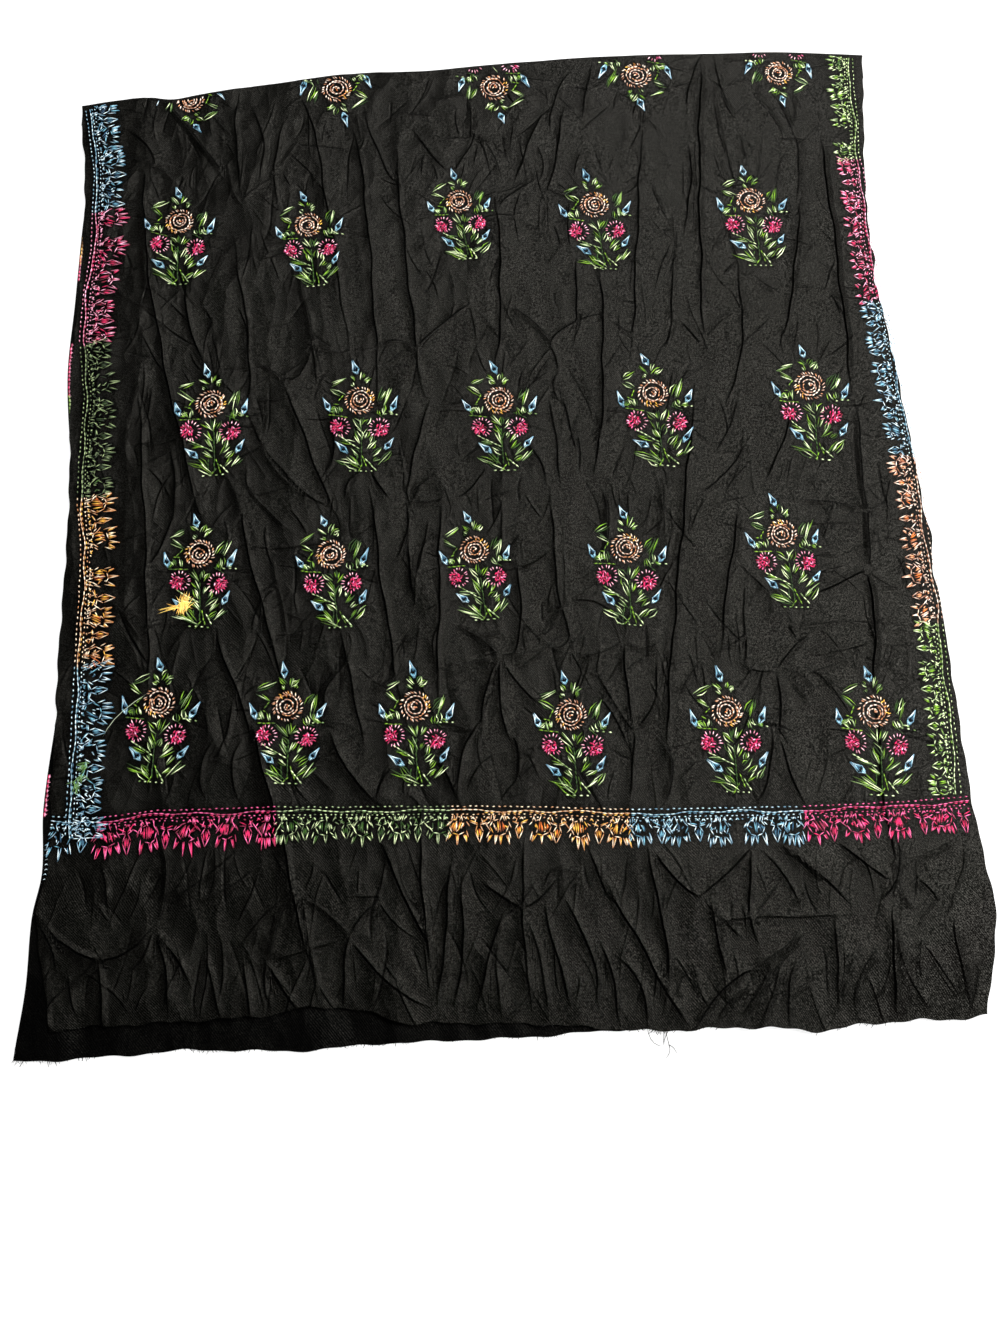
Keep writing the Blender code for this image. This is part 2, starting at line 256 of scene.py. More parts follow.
# Border pattern: how far from its line each row lies, towards the flowers' tips; how far apart the
# flowers stand; how far ahead and behind the line's heading is read; how many small flowers are
# missing; and the rim of a big one in shares of its size
OUTER_DOTS = -3.8
INNER_DOTS = 3.4
ARCHES = 6.6
FLOWER_FOOT = 6.4
FLOWER_PITCH = 18.5
HEADING_STEP = 6
MISSING_DROPS = 0.12
BLOSSOM_RIM = (
    (-0.1, 0.06), (-0.6, 0.1), (-0.86, 0.3), (-0.5, 0.54), (0.1, 0.6), (0.66, 0.5), (0.88, 0.26),
    (0.5, 0.06),
)

# Where the lower stretch's own border peeps out at the left: stitches along its side, a step in
# from its edge, with or without the line that they stand beside
SLIVERS = table(
    "name thread start end inset lined",
    ("gold", "gold", 297, 262, 2.5, True), ("magenta_high", "magenta", 270, 243, 2.0, True),
    ("magenta", "magenta", 168, 108, 2.2, True), ("pale", "leaf", 107, 58, 2.4, True),
    ("magenta_low", "magenta", -282, -320, 2.4, True), ("sky", "sky", -345, -378, 2.5, False),
)

# Loose threads: each from its first point, past its second, to its third, and half its thickness
HEM_THREADS = (
    (138, -503, 143, -516, 153, -520, 0.34), (152, -504, 153, -512, 152, -519, 0.36),
    (154, -504, 156, -513, 158, -519, 0.38), (158, -504, 154, -513, 153, -521, 0.38),
    (156, -516, 158, -524, 153, -531, 0.34), (156, -519, 161, -521, 165, -528, 0.34),
    (144, -503, 146, -508, 148, -511, 0.42), (132, -502, 134, -506, 137, -505, 0.42),
)
STRAY_THREADS = (
    (-327, -204, -352, -224, -366, -247, 0.36),
)

# Cut ends: spots where they are frayed longer, each its middle, half width and length; how far
# apart the yarns are, and their shortest and longest
FRONT_SPOTS = ((128, 8, 3.0), (148, 10, 4.0), (-372, 14, 2.0), (390, 20, 1.5))
BACK_SPOTS = ((-413, 8, 6.0), (-388, 14, 3.0), (-356, 12, 4.0), (-250, 20, 2.0), (-195, 16, 2.5))
FRAY_PITCH = 1.4
FRAY_SHORTEST = 0.8
FRAY_LONGEST = 8.0

# Sprays of loose floss: where, heading in degrees, its spread, longest thread and count
GOLD_SPRAYS = (
    (-299, -123, 88, 0.3, 20, 34), (-300, -112, 262, 0.4, 16, 22), (-305, -117, 196, 0.07, 25, 6),
    (-304, -117, 192, 0.2, 12, 8),
)
GREEN_SPRAYS = (
    (-377, -272, 235, 0.5, 11, 16), (-381, -281, 250, 0.5, 10, 12), (-385, -289, 265, 0.4, 11, 14),
)

# Families of threads: main, pale and deep
FAMILIES = {
    "sky": ("sky", "pale_sky", "deep_sky"),
    "magenta": ("magenta", "pink", "deep_magenta"),
    "rose": ("magenta", "hot_pink", "deep_magenta"),
    "leaf": ("leaf", "light_leaf", "dark_leaf"),
    "moss": ("dark_leaf", "moss_green", "dark_leaf"),
    "fern": ("fern_shade", "fern_green", "dark_leaf"),
    "gold": ("gold", "pale_gold", "orange"),
    "peach": ("peach", "pale_peach", "orange"),
}

# Threads: pale and deep end of each colour, as a screen shows it
TONES = {
    "sky": ((118, 176, 196), (10, 50, 78)),
    "pale_sky": ((238, 252, 255), (50, 108, 136)),
    "deep_sky": ((38, 84, 116), (4, 20, 36)),
    "magenta": ((240, 36, 104), (90, 0, 28)),
    "hot_pink": ((255, 118, 174), (120, 0, 44)),
    "pink": ((255, 200, 225), (150, 20, 66)),
    "pale_pink": ((255, 232, 238), (215, 90, 135)),
    "deep_magenta": ((125, 4, 40), (55, 0, 18)),
    "leaf": ((128, 174, 40), (14, 38, 2)),
    "light_leaf": ((244, 255, 206), (60, 100, 8)),
    "dark_leaf": ((48, 86, 16), (6, 22, 0)),
    "moss_green": ((232, 246, 192), (20, 48, 2)),
    "fern_green": ((168, 186, 134), (26, 40, 16)),
    "fern_shade": ((46, 64, 32), (6, 14, 4)),
    "gold": ((255, 206, 84), (136, 62, 2)),
    "pale_gold": ((255, 246, 222), (170, 98, 24)),
    "orange": ((238, 126, 48), (92, 30, 2)),
    "peach": ((242, 172, 124), (98, 44, 14)),
    "pale_peach": ((255, 244, 230), (146, 84, 48)),
}

# Windows high on the right: one near the hem, one beside the cloth and one beyond the fold
LAMPS = table(
    "name x y z width power",
    ("window", 1.15, -0.3, 0.9, 0.35, 24.0), ("high_window", 1.3, 0.65, 1.8, 0.6, 85.0),
    ("far_window", 0.35, 1.6, 1.8, 0.6, 74.0),
)
WORLD_LIGHT = 0.08
WHITE = (1.0, 1.0, 1.0, 1.0)

# Creases of the upper stretch: three points of the crest, its height, and the width of each flank,
# left or right of someone who walks from the first point to the last
Crease = namedtuple("Crease", "x1 y1 x2 y2 x3 y3 height left right")
CREASES = [Crease(*row) for row in [
    (-290, -20, -355, 220, -375, 370, 7, 10, 28), (-300, 150, -315, 190, -320, 235, 5, 5, 16),
    (-325, -200, -340, -50, -360, 105, 6, 12, 25), (-295, 370, -320, 410, -365, 470, 6, 30, 12),
    (-145, 145, -185, 380, -210, 470, 4, 16, 35), (-170, 115, -195, 205, -200, 250, 4, 24, 6),
    (-250, 100, -250, 160, -275, 290, 3.5, 9, 25), (-250, 160, -205, 125, -185, 170, 3, 6, 6),
    (-115, 100, -130, 290, -150, 425, 4, 7, 30), (-70, 110, -90, 265, -105, 405, 4, 7, 30),
    (-80, 160, -55, 185, -20, 215, 4, 6, 16), (5, 145, 10, 230, 5, 340, 5, 5, 40),
    (85, 165, 90, 215, 90, 260, 4, 7, 30), (105, 25, 115, 125, 115, 280, 4.5, 6, 35),
    (145, 145, 155, 290, 165, 430, 3.5, 5, 30), (180, 160, 190, 220, 195, 320, 3, 6, 25),
    (220, 160, 225, 365, 235, 525, 5, 5, 30), (240, 95, 260, 170, 260, 280, 3.5, 6, 30),
    (300, 165, 320, 250, 330, 335, 5, 8, 25), (370, 105, 365, 290, 360, 415, 7, 13, 28),
    (370, -80, 370, -15, 370, 105, 7, 30, 17), (365, -200, 370, -135, 370, -80, 7, 7, 30),
    (370, -360, 365, -300, 365, -200, 5, 5, 26), (310, -105, 345, -90, 370, -80, 5, 40, 8),
    (-160, -15, -205, 20, -250, 90, 3.5, 7, 16), (-155, -20, -180, 40, -215, 125, 4, 8, 16),
    (-190, -210, -230, -90, -250, -5, 5, 8, 20), (-85, -210, -105, -100, -120, 5, 4.5, 7, 25),
    (-50, -210, -50, -110, -50, -5, 4, 5, 35), (20, -170, 30, -120, 25, -70, 4, 8, 30),
    (80, -165, 65, -90, 60, 5, 3.5, 7, 20), (110, -70, 115, -35, 110, 5, 4, 18, 7),
    (165, -250, 180, -110, 210, 120, 6, 10, 40), (210, 0, 235, 20, 260, 60, 4, 8, 8),
    (220, -165, 235, -75, 245, -20, 5, 8, 20), (275, 15, 295, 55, 305, 90, 4, 7, 14),
    (-120, -250, -130, -200, -145, -145, 4, 7, 20), (-155, -470, -205, -295, -225, -235, 7, 12, 35),
    (-225, -245, -245, -190, -265, -145, 5, 7, 20), (-150, -245, -135, -275, -105, -305, 4, 16, 7),
    (-105, -305, -100, -285, -85, -270, 3, 6, 12), (-50, -270, -40, -280, -30, -305, 4, 14, 6),
    (-30, -305, -25, -260, -10, -230, 4, 6, 14), (-55, -435, -80, -385, -100, -345, 5, 7, 20),
    (-55, -450, -60, -395, -65, -335, 5, 6, 12), (-410, -410, -350, -445, -300, -415, 6, 40, 6),
    (-180, -390, -190, -410, -200, -445, 4, 7, 14), (-175, -390, -150, -405, -125, -425, 3.5, 7, 7),
    (-125, -425, -115, -410, -100, -395, 3.5, 7, 7), (-155, -475, -160, -440, -170, -390, 4, 7, 14),
    (-130, -485, -130, -455, -125, -425, 4, 6, 12), (-55, -485, -90, -465, -125, -430, 4, 7, 7),
    (35, -485, 30, -395, 30, -345, 4, 7, 14), (175, -500, 135, -435, 100, -365, 4.5, 8, 16),
    (160, -470, 155, -410, 145, -350, 5, 7, 14), (150, -350, 170, -375, 190, -390, 5, 30, 7),
    (190, -390, 215, -370, 240, -345, 4, 30, 7), (240, -430, 235, -395, 240, -345, 4, 6, 14),
    (265, -345, 295, -365, 325, -395, 4.5, 20, 8), (320, -345, 340, -360, 365, -380, 4, 16, 7),
    (355, -395, 370, -370, 370, -340, 5, 14, 7), (210, -460, 205, -425, 200, -395, 5, 7, 7),
    (180, -505, 205, -470, 235, -455, 5, 16, 8), (235, -455, 260, -440, 280, -420, 3.5, 7, 7),
    (360, -490, 360, -445, 365, -405, 6, 6, 20), (425, -485, 420, -445, 420, -410, 4, 8, 16),
    (250, -305, 260, -280, 265, -235, 4, 7, 14), (290, -305, 280, -275, 270, -245, 4, 7, 14),
    (130, -300, 135, -265, 135, -240, 4, 6, 14), (160, -305, 170, -275, 160, -250, 4, 14, 7),
    (275, -180, 255, -180, 240, -175, 3, 6, 6), (275, -180, 290, -160, 310, -145, 4, 7, 7),
    (275, -180, 295, -185, 310, -200, 3, 6, 6), (270, -250, 275, -215, 275, -180, 4, 6, 12),
    (285, -135, 345, -135, 390, -135, 2.5, 7, 7), (245, -180, 245, -135, 250, -90, 3, 6, 12),
    (-35, -135, -10, -150, 10, -165, 3.5, 7, 7), (-10, -245, -5, -205, 10, -165, 4, 7, 7),
    (15, -245, 10, -210, 10, -165, 4, 6, 12), (45, -210, 25, -190, 10, -165, 3.5, 7, 7),
    (10, -165, 30, -165, 55, -160, 2.5, 6, 6), (-350, -145, -300, -135, -260, -140, 2, 7, 7),
    (-85, -5, -75, 50, -65, 100, 4, 7, 14), (-85, -5, -70, 10, -60, 15, 3, 6, 6),
    (-85, -5, -65, -10, -45, -5, 3, 6, 6), (-75, -110, -80, -60, -85, -5, 4, 6, 14),
    (135, -240, 130, -200, 130, -150, 4, 6, 14), (135, -240, 155, -210, 160, -165, 4, 7, 7),
    (105, -190, 120, -220, 135, -240, 3.5, 12, 6), (-270, 350, -280, 415, -280, 475, 3, 5, 10),
    (-290, 385, -280, 355, -270, 335, 2.5, 5, 5), (-230, 335, -235, 385, -230, 440, 3, 5, 10),
    (-250, 370, -250, 415, -265, 460, 3, 5, 10), (-215, 410, -225, 390, -235, 370, 2, 5, 5),
    (-395, 390, -370, 385, -345, 365, 3, 6, 14), (-365, 380, -375, 405, -400, 430, 3, 6, 14),
    (-105, 365, -120, 390, -140, 455, 3, 5, 10), (-45, 375, -65, 395, -85, 425, 3, 5, 10),
    (-40, 375, -25, 405, -15, 440, 2.5, 5, 5), (-25, 430, -5, 405, 10, 365, 3, 5, 10),
    (0, 370, -10, 405, -25, 435, 2.5, 5, 5), (25, 365, 40, 410, 60, 455, 3.5, 5, 12),
    (60, 350, 70, 395, 80, 455, 3.5, 5, 10), (65, 425, 70, 470, 85, 505, 3, 5, 10),
    (100, 440, 105, 475, 110, 510, 2.5, 5, 5), (50, 360, 55, 385, 50, 410, 2, 4, 8),
    (10, 330, 20, 345, 45, 365, 3, 6, 6), (215, 455, 220, 490, 235, 525, 3, 5, 10),
    (270, 445, 255, 475, 250, 520, 3, 5, 10), (205, 295, 215, 355, 215, 405, 4, 7, 7),
    (255, 385, 250, 430, 245, 470, 3, 5, 5), (330, 425, 325, 445, 315, 470, 3, 6, 6),
    (330, 340, 335, 390, 330, 425, 3, 5, 10), (195, 195, 210, 175, 215, 170, 3.5, 12, 6),
    (215, 170, 235, 190, 255, 205, 3.5, 12, 6), (20, 210, 40, 195, 60, 170, 3.5, 7, 7),
    (60, 165, 75, 185, 115, 200, 3.5, 7, 7), (70, 135, 65, 155, 60, 165, 3, 5, 10),
    (70, 100, 65, 120, 70, 135, 3, 5, 10), (125, 195, 140, 180, 155, 175, 2.5, 5, 5),
    (155, 175, 165, 175, 175, 185, 2, 5, 5), (280, 245, 290, 235, 300, 230, 2.5, 5, 5),
    (300, 165, 310, 175, 320, 185, 2.5, 5, 5), (-115, 165, -95, 170, -75, 155, 3, 6, 6),
    (-70, 125, -75, 145, -75, 155, 3, 5, 10), (-15, 165, -20, 195, -25, 220, 2.5, 5, 10),
    (-180, 165, -160, 155, -145, 160, 2.5, 5, 5), (-145, 160, -130, 160, -115, 165, 2, 5, 5),
    (-230, 60, -220, 30, -190, 0, 2.5, 5, 10), (-245, 15, -230, -10, -195, -40, 3, 6, 6),
    (-260, 15, -250, -15, -225, -55, 3, 5, 10), (-265, 25, -255, 0, -235, -30, 2.5, 5, 5),
    (-240, -55, -200, -55, -145, -50, 2.5, 12, 5), (-215, -60, -205, -110, -195, -150, 3, 6, 12),
    (-230, -140, -225, -115, -210, -100, 2.5, 5, 10), (-210, -155, -185, -145, -155, -135, 2.5, 5, 10),
    (-335, -75, -325, -55, -315, -20, 4, 6, 12), (-315, -20, -315, 10, -325, 50, 3, 5, 12),
    (-410, -195, -375, -190, -335, -190, 1.5, 5, 5), (-235, -210, -230, -200, -220, -195, 3, 5, 5),
    (-155, -220, -155, -200, -140, -175, 3, 6, 6), (-140, -175, -135, -155, -140, -140, 2.5, 5, 5),
    (-115, -200, -95, -190, -80, -180, 2.5, 5, 5), (-85, -210, -60, -190, -20, -180, 2.5, 5, 5),
    (-35, -175, -20, -175, 10, -165, 2.5, 5, 5), (-75, -110, -70, -70, -60, -45, 3, 5, 12),
    (-95, -70, -85, -50, -80, -10, 3, 5, 10), (-160, 25, -160, 60, -165, 100, 3, 5, 12),
    (-145, -5, -140, 15, -125, 25, 3, 5, 5), (-100, -5, -110, 10, -120, 25, 3, 5, 10),
    (-5, 25, -20, 5, -35, -5, 3.5, 12, 6), (-10, -10, 10, 0, 30, 5, 2, 5, 5),
    (10, -70, 10, -40, 10, -5, 2.5, 5, 10), (15, -80, 40, -70, 60, -55, 3.5, 14, 6),
    (30, -20, 40, -10, 55, -10, 2, 5, 5), (55, 15, 50, 35, 35, 55, 3, 5, 10),
    (85, 50, 80, 70, 70, 125, 3, 5, 12), (70, 15, 65, 60, 60, 105, 3, 5, 10),
    (100, 60, 120, 80, 135, 105, 2.5, 5, 5), (125, -130, 105, -115, 80, -110, 3, 6, 6),
    (40, -150, 55, -140, 80, -100, 3, 12, 6), (50, -150, 65, -160, 80, -145, 3, 5, 5),
    (75, -170, 105, -165, 130, -150, 2.5, 5, 5), (130, -150, 145, -160, 165, -150, 3, 6, 6),
    (170, 15, 170, -5, 165, -50, 3, 6, 14), (195, -40, 205, -20, 215, -5, 3, 5, 10),
    (175, 25, 170, 50, 175, 70, 3, 5, 5), (225, 45, 240, 70, 255, 110, 3, 5, 10),
    (235, 0, 245, 15, 260, 35, 3, 5, 5), (215, -15, 235, -10, 255, -5, 2.5, 5, 5),
    (305, -5, 335, -10, 370, -20, 3, 6, 6), (370, -20, 385, -15, 400, -5, 2.5, 5, 5),
    (355, -30, 335, -30, 305, -30, 2.5, 5, 5), (370, -85, 385, -95, 400, -100, 2.5, 5, 5),
    (270, -100, 255, -85, 240, -70, 2.5, 5, 5), (295, -150, 290, -140, 285, -135, 3, 5, 5),
    (215, -165, 240, -150, 245, -140, 3, 5, 5), (315, -165, 345, -160, 365, -150, 2.5, 10, 5),
    (295, -175, 320, -180, 345, -170, 2.5, 5, 5), (280, -180, 295, -200, 300, -210, 2.5, 5, 5),
    (325, -200, 315, -185, 305, -180, 2.5, 5, 5), (200, -200, 195, -180, 190, -165, 2.5, 5, 5),
    (155, -210, 165, -190, 165, -170, 3, 5, 5), (130, -255, 115, -225, 105, -210, 3, 5, 5),
    (80, -210, 90, -190, 95, -170, 2.5, 5, 5), (25, -295, 25, -260, 20, -245, 3, 6, 12),
    (-20, -295, -10, -275, 10, -260, 3, 7, 7), (10, -305, 25, -285, 50, -265, 3, 7, 7),
    (-305, -340, -295, -380, -300, -420, 4, 6, 6), (-345, -400, -350, -380, -355, -365, 3, 5, 5),
    (-270, -465, -285, -440, -300, -420, 4, 5, 10), (-285, -490, -290, -455, -300, -420, 4, 5, 10),
    (-320, -455, -310, -445, -300, -420, 3, 5, 5), (-285, -395, -260, -375, -230, -350, 3, 8, 8),
    (-230, -440, -205, -410, -180, -390, 3, 8, 8), (-265, -395, -240, -385, -210, -365, 2.5, 7, 7),
    (-170, -490, -185, -470, -200, -445, 4, 6, 6), (-195, -485, -200, -465, -200, -445, 3, 5, 5),
    (-200, -445, -170, -440, -135, -430, 2.5, 12, 5), (-100, -390, -110, -390, -125, -390, 2, 5, 5),
    (-340, -505, -345, -480, -350, -445, 4, 5, 5), (-375, -470, -365, -460, -350, -445, 3, 5, 5),
    (-385, -505, -390, -490, -375, -470, 4, 5, 5), (-390, -450, -395, -435, -410, -415, 4, 5, 5),
    (-210, -495, -215, -470, -220, -450, 4, 6, 6), (-235, -495, -245, -470, -255, -445, 3, 5, 5),
    (50, -380, 55, -370, 70, -365, 3, 5, 5), (-5, -380, 10, -390, 30, -400, 3.5, 14, 5),
    (30, -400, 45, -390, 60, -375, 3.5, 14, 5), (95, -480, 90, -440, 70, -395, 4, 6, 12),
    (70, -485, 60, -440, 50, -400, 4, 6, 12), (-10, -485, 0, -440, 15, -405, 4, 6, 12),
    (-30, -485, -25, -440, -25, -375, 4, 6, 12), (-45, -480, -40, -420, -35, -360, 4, 5, 10),
    (10, -490, 5, -445, 15, -410, 3, 5, 10), (50, -490, 45, -445, 35, -410, 3, 5, 10),
    (115, -500, 110, -465, 100, -435, 4, 6, 6), (140, -500, 135, -470, 115, -445, 3.5, 5, 10),
    (110, -395, 100, -375, 90, -350, 3.5, 5, 10), (190, -410, 250, -410, 325, -405, 2.5, 10, 5),
    (225, -425, 215, -415, 205, -405, 3, 5, 5), (200, -500, 215, -480, 235, -470, 3, 5, 5),
    (220, -500, 240, -470, 255, -445, 3.5, 6, 6), (240, -500, 250, -475, 260, -450, 3, 5, 5),
    (265, -500, 265, -470, 275, -445, 3, 5, 5), (310, -480, 310, -445, 310, -410, 3.5, 6, 6),
    (325, -490, 330, -460, 350, -435, 3, 5, 10), (280, -395, 270, -375, 250, -350, 3.5, 6, 6),
    (300, -375, 285, -360, 265, -350, 2.5, 5, 5), (370, -380, 375, -395, 385, -400, 3, 5, 5),
    (405, -395, 400, -385, 390, -375, 3, 5, 5), (415, -475, 400, -450, 390, -435, 3, 6, 6),
    (385, -485, 370, -455, 365, -420, 3.5, 6, 6), (380, -360, 405, -350, 430, -340, 2.5, 6, 6),
    (-235, -300, -240, -275, -235, -250, 3, 6, 12), (-265, -300, -270, -275, -260, -250, 3, 6, 12),
    (-255, -265, -250, -250, -245, -210, 3, 5, 10), (-300, -305, -295, -290, -295, -280, 2, 5, 5),
    (-170, -305, -180, -290, -175, -280, 2.5, 6, 6), (-340, -230, -330, -245, -310, -255, 2, 5, 5),
    (-70, -335, -65, -315, -75, -300, 3, 5, 10),
]]

# Crests: how sharp, in how many steps each curves, how much is left at the ends, how they blend
CREST_SHARPNESS = 1.15
CREST_STEPS = 6
END_SHARE = 0.3
BLEND_POWER = 5.0

# How much of a crease's height is in the mesh, the rest being a crisp line in the material, and
# how far from a crest that line is felt
MAIN_SHARE = 0.52
SMALL_SHARE = 0.5
LINE_REACH = 9.0

# Fine wrinkles: how many are strewn over the upper stretch, and the ring of them round a bouquet,
# its middle below the rose's and its half width and half height
STRAY_CREASES = 520
FAN_DROP = 14
FAN_HALF_WIDTH = 36
FAN_HALF_HEIGHT = 62

# Grid of heights over the plan, and the meshes that read it
FIELD_STEP = 1.5
FIELD_X = np.arange(-480.0, 481.0, FIELD_STEP)
FIELD_Y = np.arange(-560.0, 561.0, FIELD_STEP)
PLAN_X, PLAN_Y = np.meshgrid(FIELD_X, FIELD_Y)
FRONT_COLUMNS = 380
FRONT_ROWS = 225
BACK_COLUMNS = 230
BACK_HEM_ROWS = 40
BACK_ROWS = 110
TURN_STEPS = 10
LIP_STEPS = 8
ROUGH_SIDES = (-420.0, 430.0)

# A cut or turned edge, seen in section: how far in from the edge, and how far under the face
EDGE_SECTION = ((11.0, 1.1), (4.0, 1.15), (0.7, 1.1), (0.0, 0.55))
SHARP_TURN = math.radians(62)

# How far from the fold's edge the face starts to turn over, and the stitches end
TURN_REACH = 3.0
FOLD_MARGIN = 3.5

# Stitches: usual width; rings, each a share of the length and of the width; painted light of each
# ring, a painted highlight at the middle and painted shade towards the ends; how far the thread
# stands out of the cloth and goes into it; and the length of a turn of its twist
THREAD = 1.1
STITCH_RINGS = ((0.14, 0.8), (0.5, 1.0), (0.86, 0.8))
STITCH_PAINTED_LIGHT = (0.2, 1.1, 0.2)
STITCH_RISE = 0.75
STITCH_SINK = 0.2
TWIST_PITCH = 1.4
RING_FACES = 4

# Shares of a stitch that count, and the square millimetres of cloth round each that get painted shade
SEWN_SPOTS = (0.2, 0.5, 0.8)
PAINTED_SHADE_AREA = 9.0

# Shares of a loose thread's length at which it bends
STRAND_STATIONS = np.linspace(0.0, 1.0, 6)[None, :]

# Weave, in metres, and how uneven the gloss is from yarn to yarn
TWILL_PITCH = 0.0017
YARN_PITCH = 0.0009
GLOSS_CONTRAST = 15.0
GLOSS_FLOOR = 6.7

# Crisp lines along creases: which; where its core of painted shade lies off the crest, and how wide
# that is; its width on the steep and the broad side, all in millimetres; its share of the crease's
# height; and the height of a crease whose core gets the full painted shade
CREASE_LINES = table(
    "name core core_width steep broad share full",
    ("crest", 1.1, 1.3, 2.2, 5.0, 0.4, 4.0), ("small", 0.8, 1.1, 1.7, 3.0, 0.5, 1.9),
    ("trough", 0.0, 1.2, 2.4, 1.8, -0.5, 1.7),
)

SEED = 41


def seeded(offset):
    return np.random.default_rng(SEED + offset)


def between(low, high, share):
    return low + (high - low) * share


def ease(share):
    """Rises smoothly from 0 to 1 as share does."""
    share = np.clip(share, 0.0, 1.0)
    return share * share * (3.0 - 2.0 * share)


def read_column(records, key, name, at):
    """Reads a column of a table at stations, on a smooth curve through the rows."""
    keys = np.array([getattr(record, key) for record in records], float)
    values = np.array([getattr(record, name) for record in records], float)
    last = len(records) - 1
    row = np.clip(np.searchsorted(keys, at) - 1, 0, last - 1)
    before = np.maximum(row - 1, 0)
    after = np.minimum(row + 2, last)
    span = keys[row + 1] - keys[row]
    share = np.clip((at - keys[row]) / span, 0.0, 1.0)
    slope_in = (values[row + 1] - values[before]) / (keys[row + 1] - keys[before]) * span
    slope_out = (values[after] - values[row]) / (keys[after] - keys[row]) * span
    square, cube = share**2, share**3
    return (
        (2 * cube - 3 * square + 1) * values[row]
        + (cube - 2 * square + share) * slope_in
        + (3 * square - 2 * cube) * values[row + 1]
        + (cube - square) * slope_out
    )


def upper_hem(x):
    uneven = 0.9 * np.sin(x / 9.7) + 0.7 * np.sin(x / 4.3 + 1.1)
    return read_column(ENDS, "x", "upper_hem", x) + uneven


def lower_hem(x):
    uneven = 0.7 * np.sin(x / 11.3 + 0.5) + 0.5 * np.sin(x / 4.9)
    return read_column(ENDS, "x", "lower_hem", x) + uneven


def fold_line(x):
    return read_column(ENDS, "x", "fold", x)


def turn_line(x):
    return fold_line(x) - TURN_REACH


def seam_line(x):
    return SEAM_Y_AT_MIDDLE + SEAM_SLOPE * x


def side_line(stretch, hand, y):
    """X of a stretch's side edge; the upper one's has bumps where its sewing draws it in."""
    smooth = read_column(SIDES, "y", f"{stretch}_{hand}", y)
    if stretch == "lower":
        return smooth
    outwards = 1 if hand == "right" else -1
    reach = 0.6 * np.sin(y / 9.3) + 0.4 * np.sin(y / 4.7 + 1.0)
    for bump in EDGE_BUMPS:
        if bump.hand == hand:
            away = np.clip(np.abs(y - bump.y) / bump.half_width, 0.0, 1.0)
            reach = reach + bump.reach * (0.5 + 0.5 * np.cos(math.pi * away))
    return smooth + outwards * reach


def place(across, share, stretch, near, far):
    """Plan position on a stretch, from shares across and along it, between two end lines."""
    guess_x = between(*ROUGH_SIDES, across)
    y = between(near(guess_x), far(guess_x), share)
    x = between(side_line(stretch, "left", y), side_line(stretch, "right", y), across)
    return x, between(near(x), far(x), share)


def read_field(field, x, y):
    """Height of a field between its grid's points."""
    column = np.clip((x - FIELD_X[0]) / FIELD_STEP, 0.0, len(FIELD_X) - 1.001)
    row = np.clip((y - FIELD_Y[0]) / FIELD_STEP, 0.0, len(FIELD_Y) - 1.001)
    c = column.astype(int)
    r = row.astype(int)
    u = column - c
    v = row - r
    near = between(field[r, c], field[r, c + 1], u)
    far = between(field[r + 1, c], field[r + 1, c + 1], u)
    return between(near, far, v)


def soften(field, times):
    """Rounds a field's sharp lines, a little each time."""
    for _ in range(times):
        padded = np.pad(field, 1, mode="edge")
        field = (padded[:-2, 1:-1] + 2 * padded[1:-1, 1:-1] + padded[2:, 1:-1]) / 4
        padded = np.pad(field, 1, mode="edge")
        field = (padded[1:-1, :-2] + 2 * padded[1:-1, 1:-1] + padded[1:-1, 2:]) / 4
    return field


def crest_points(crease):
    """Points along a crest: a smooth curve through its three points."""
    start = np.array([crease.x1, crease.y1], float)
    middle = np.array([crease.x2, crease.y2], float)
    end = np.array([crease.x3, crease.y3], float)
    handle = 2 * middle - (start + end) / 2
    share = np.linspace(0.0, 1.0, CREST_STEPS + 1)[:, None]
    return (1 - share) ** 2 * start + 2 * share * (1 - share) * handle + share**2 * end


def crest_share(crease, points, x, y):
    """How much of a crease is felt at each point, 1 on its crest and 0 past its flanks; how far off
    the crest the point lies, positive on the steep side; and how much of the crest is left there."""
    best = np.zeros_like(x)
    nearest = np.full_like(x, 2 * LINE_REACH)
    left_over = np.zeros_like(x)
    steep = 1.0 if crease.left <= crease.right else -1.0
    for step in range(CREST_STEPS):
        start_x, start_y = points[step]
        run_x, run_y = points[step + 1] - points[step]
        length = math.hypot(run_x, run_y)
        share = ((x - start_x) * run_x + (y - start_y) * run_y) / length**2
        share = np.clip(share, 0.0, 1.0)
        off_x = x - start_x - share * run_x
        off_y = y - start_y - share * run_y
        away = np.hypot(off_x, off_y)
        side = (run_x * off_y - run_y * off_x) / (length * np.maximum(away, 1e-6))
        flank = between(crease.right, crease.left, 0.5 + 0.5 * side)
        progress = (step + share) / CREST_STEPS
        taper = between(END_SHARE, 1.0, ease(5.0 * np.minimum(progress, 1.0 - progress)))
        best = np.maximum(best, taper * np.clip(1.0 - away / flank, 0.0, 1.0) ** CREST_SHARPNESS)
        closer = away < np.abs(nearest)
        nearest = np.where(closer, steep * np.where(side > 0, away, -away), nearest)
        left_over = np.where(closer, taper, left_over)
    return best, nearest, left_over


# Heights that creases give, how far off the nearest crest each point lies, and how tall that is
Relief = namedtuple("Relief", "height off tall")


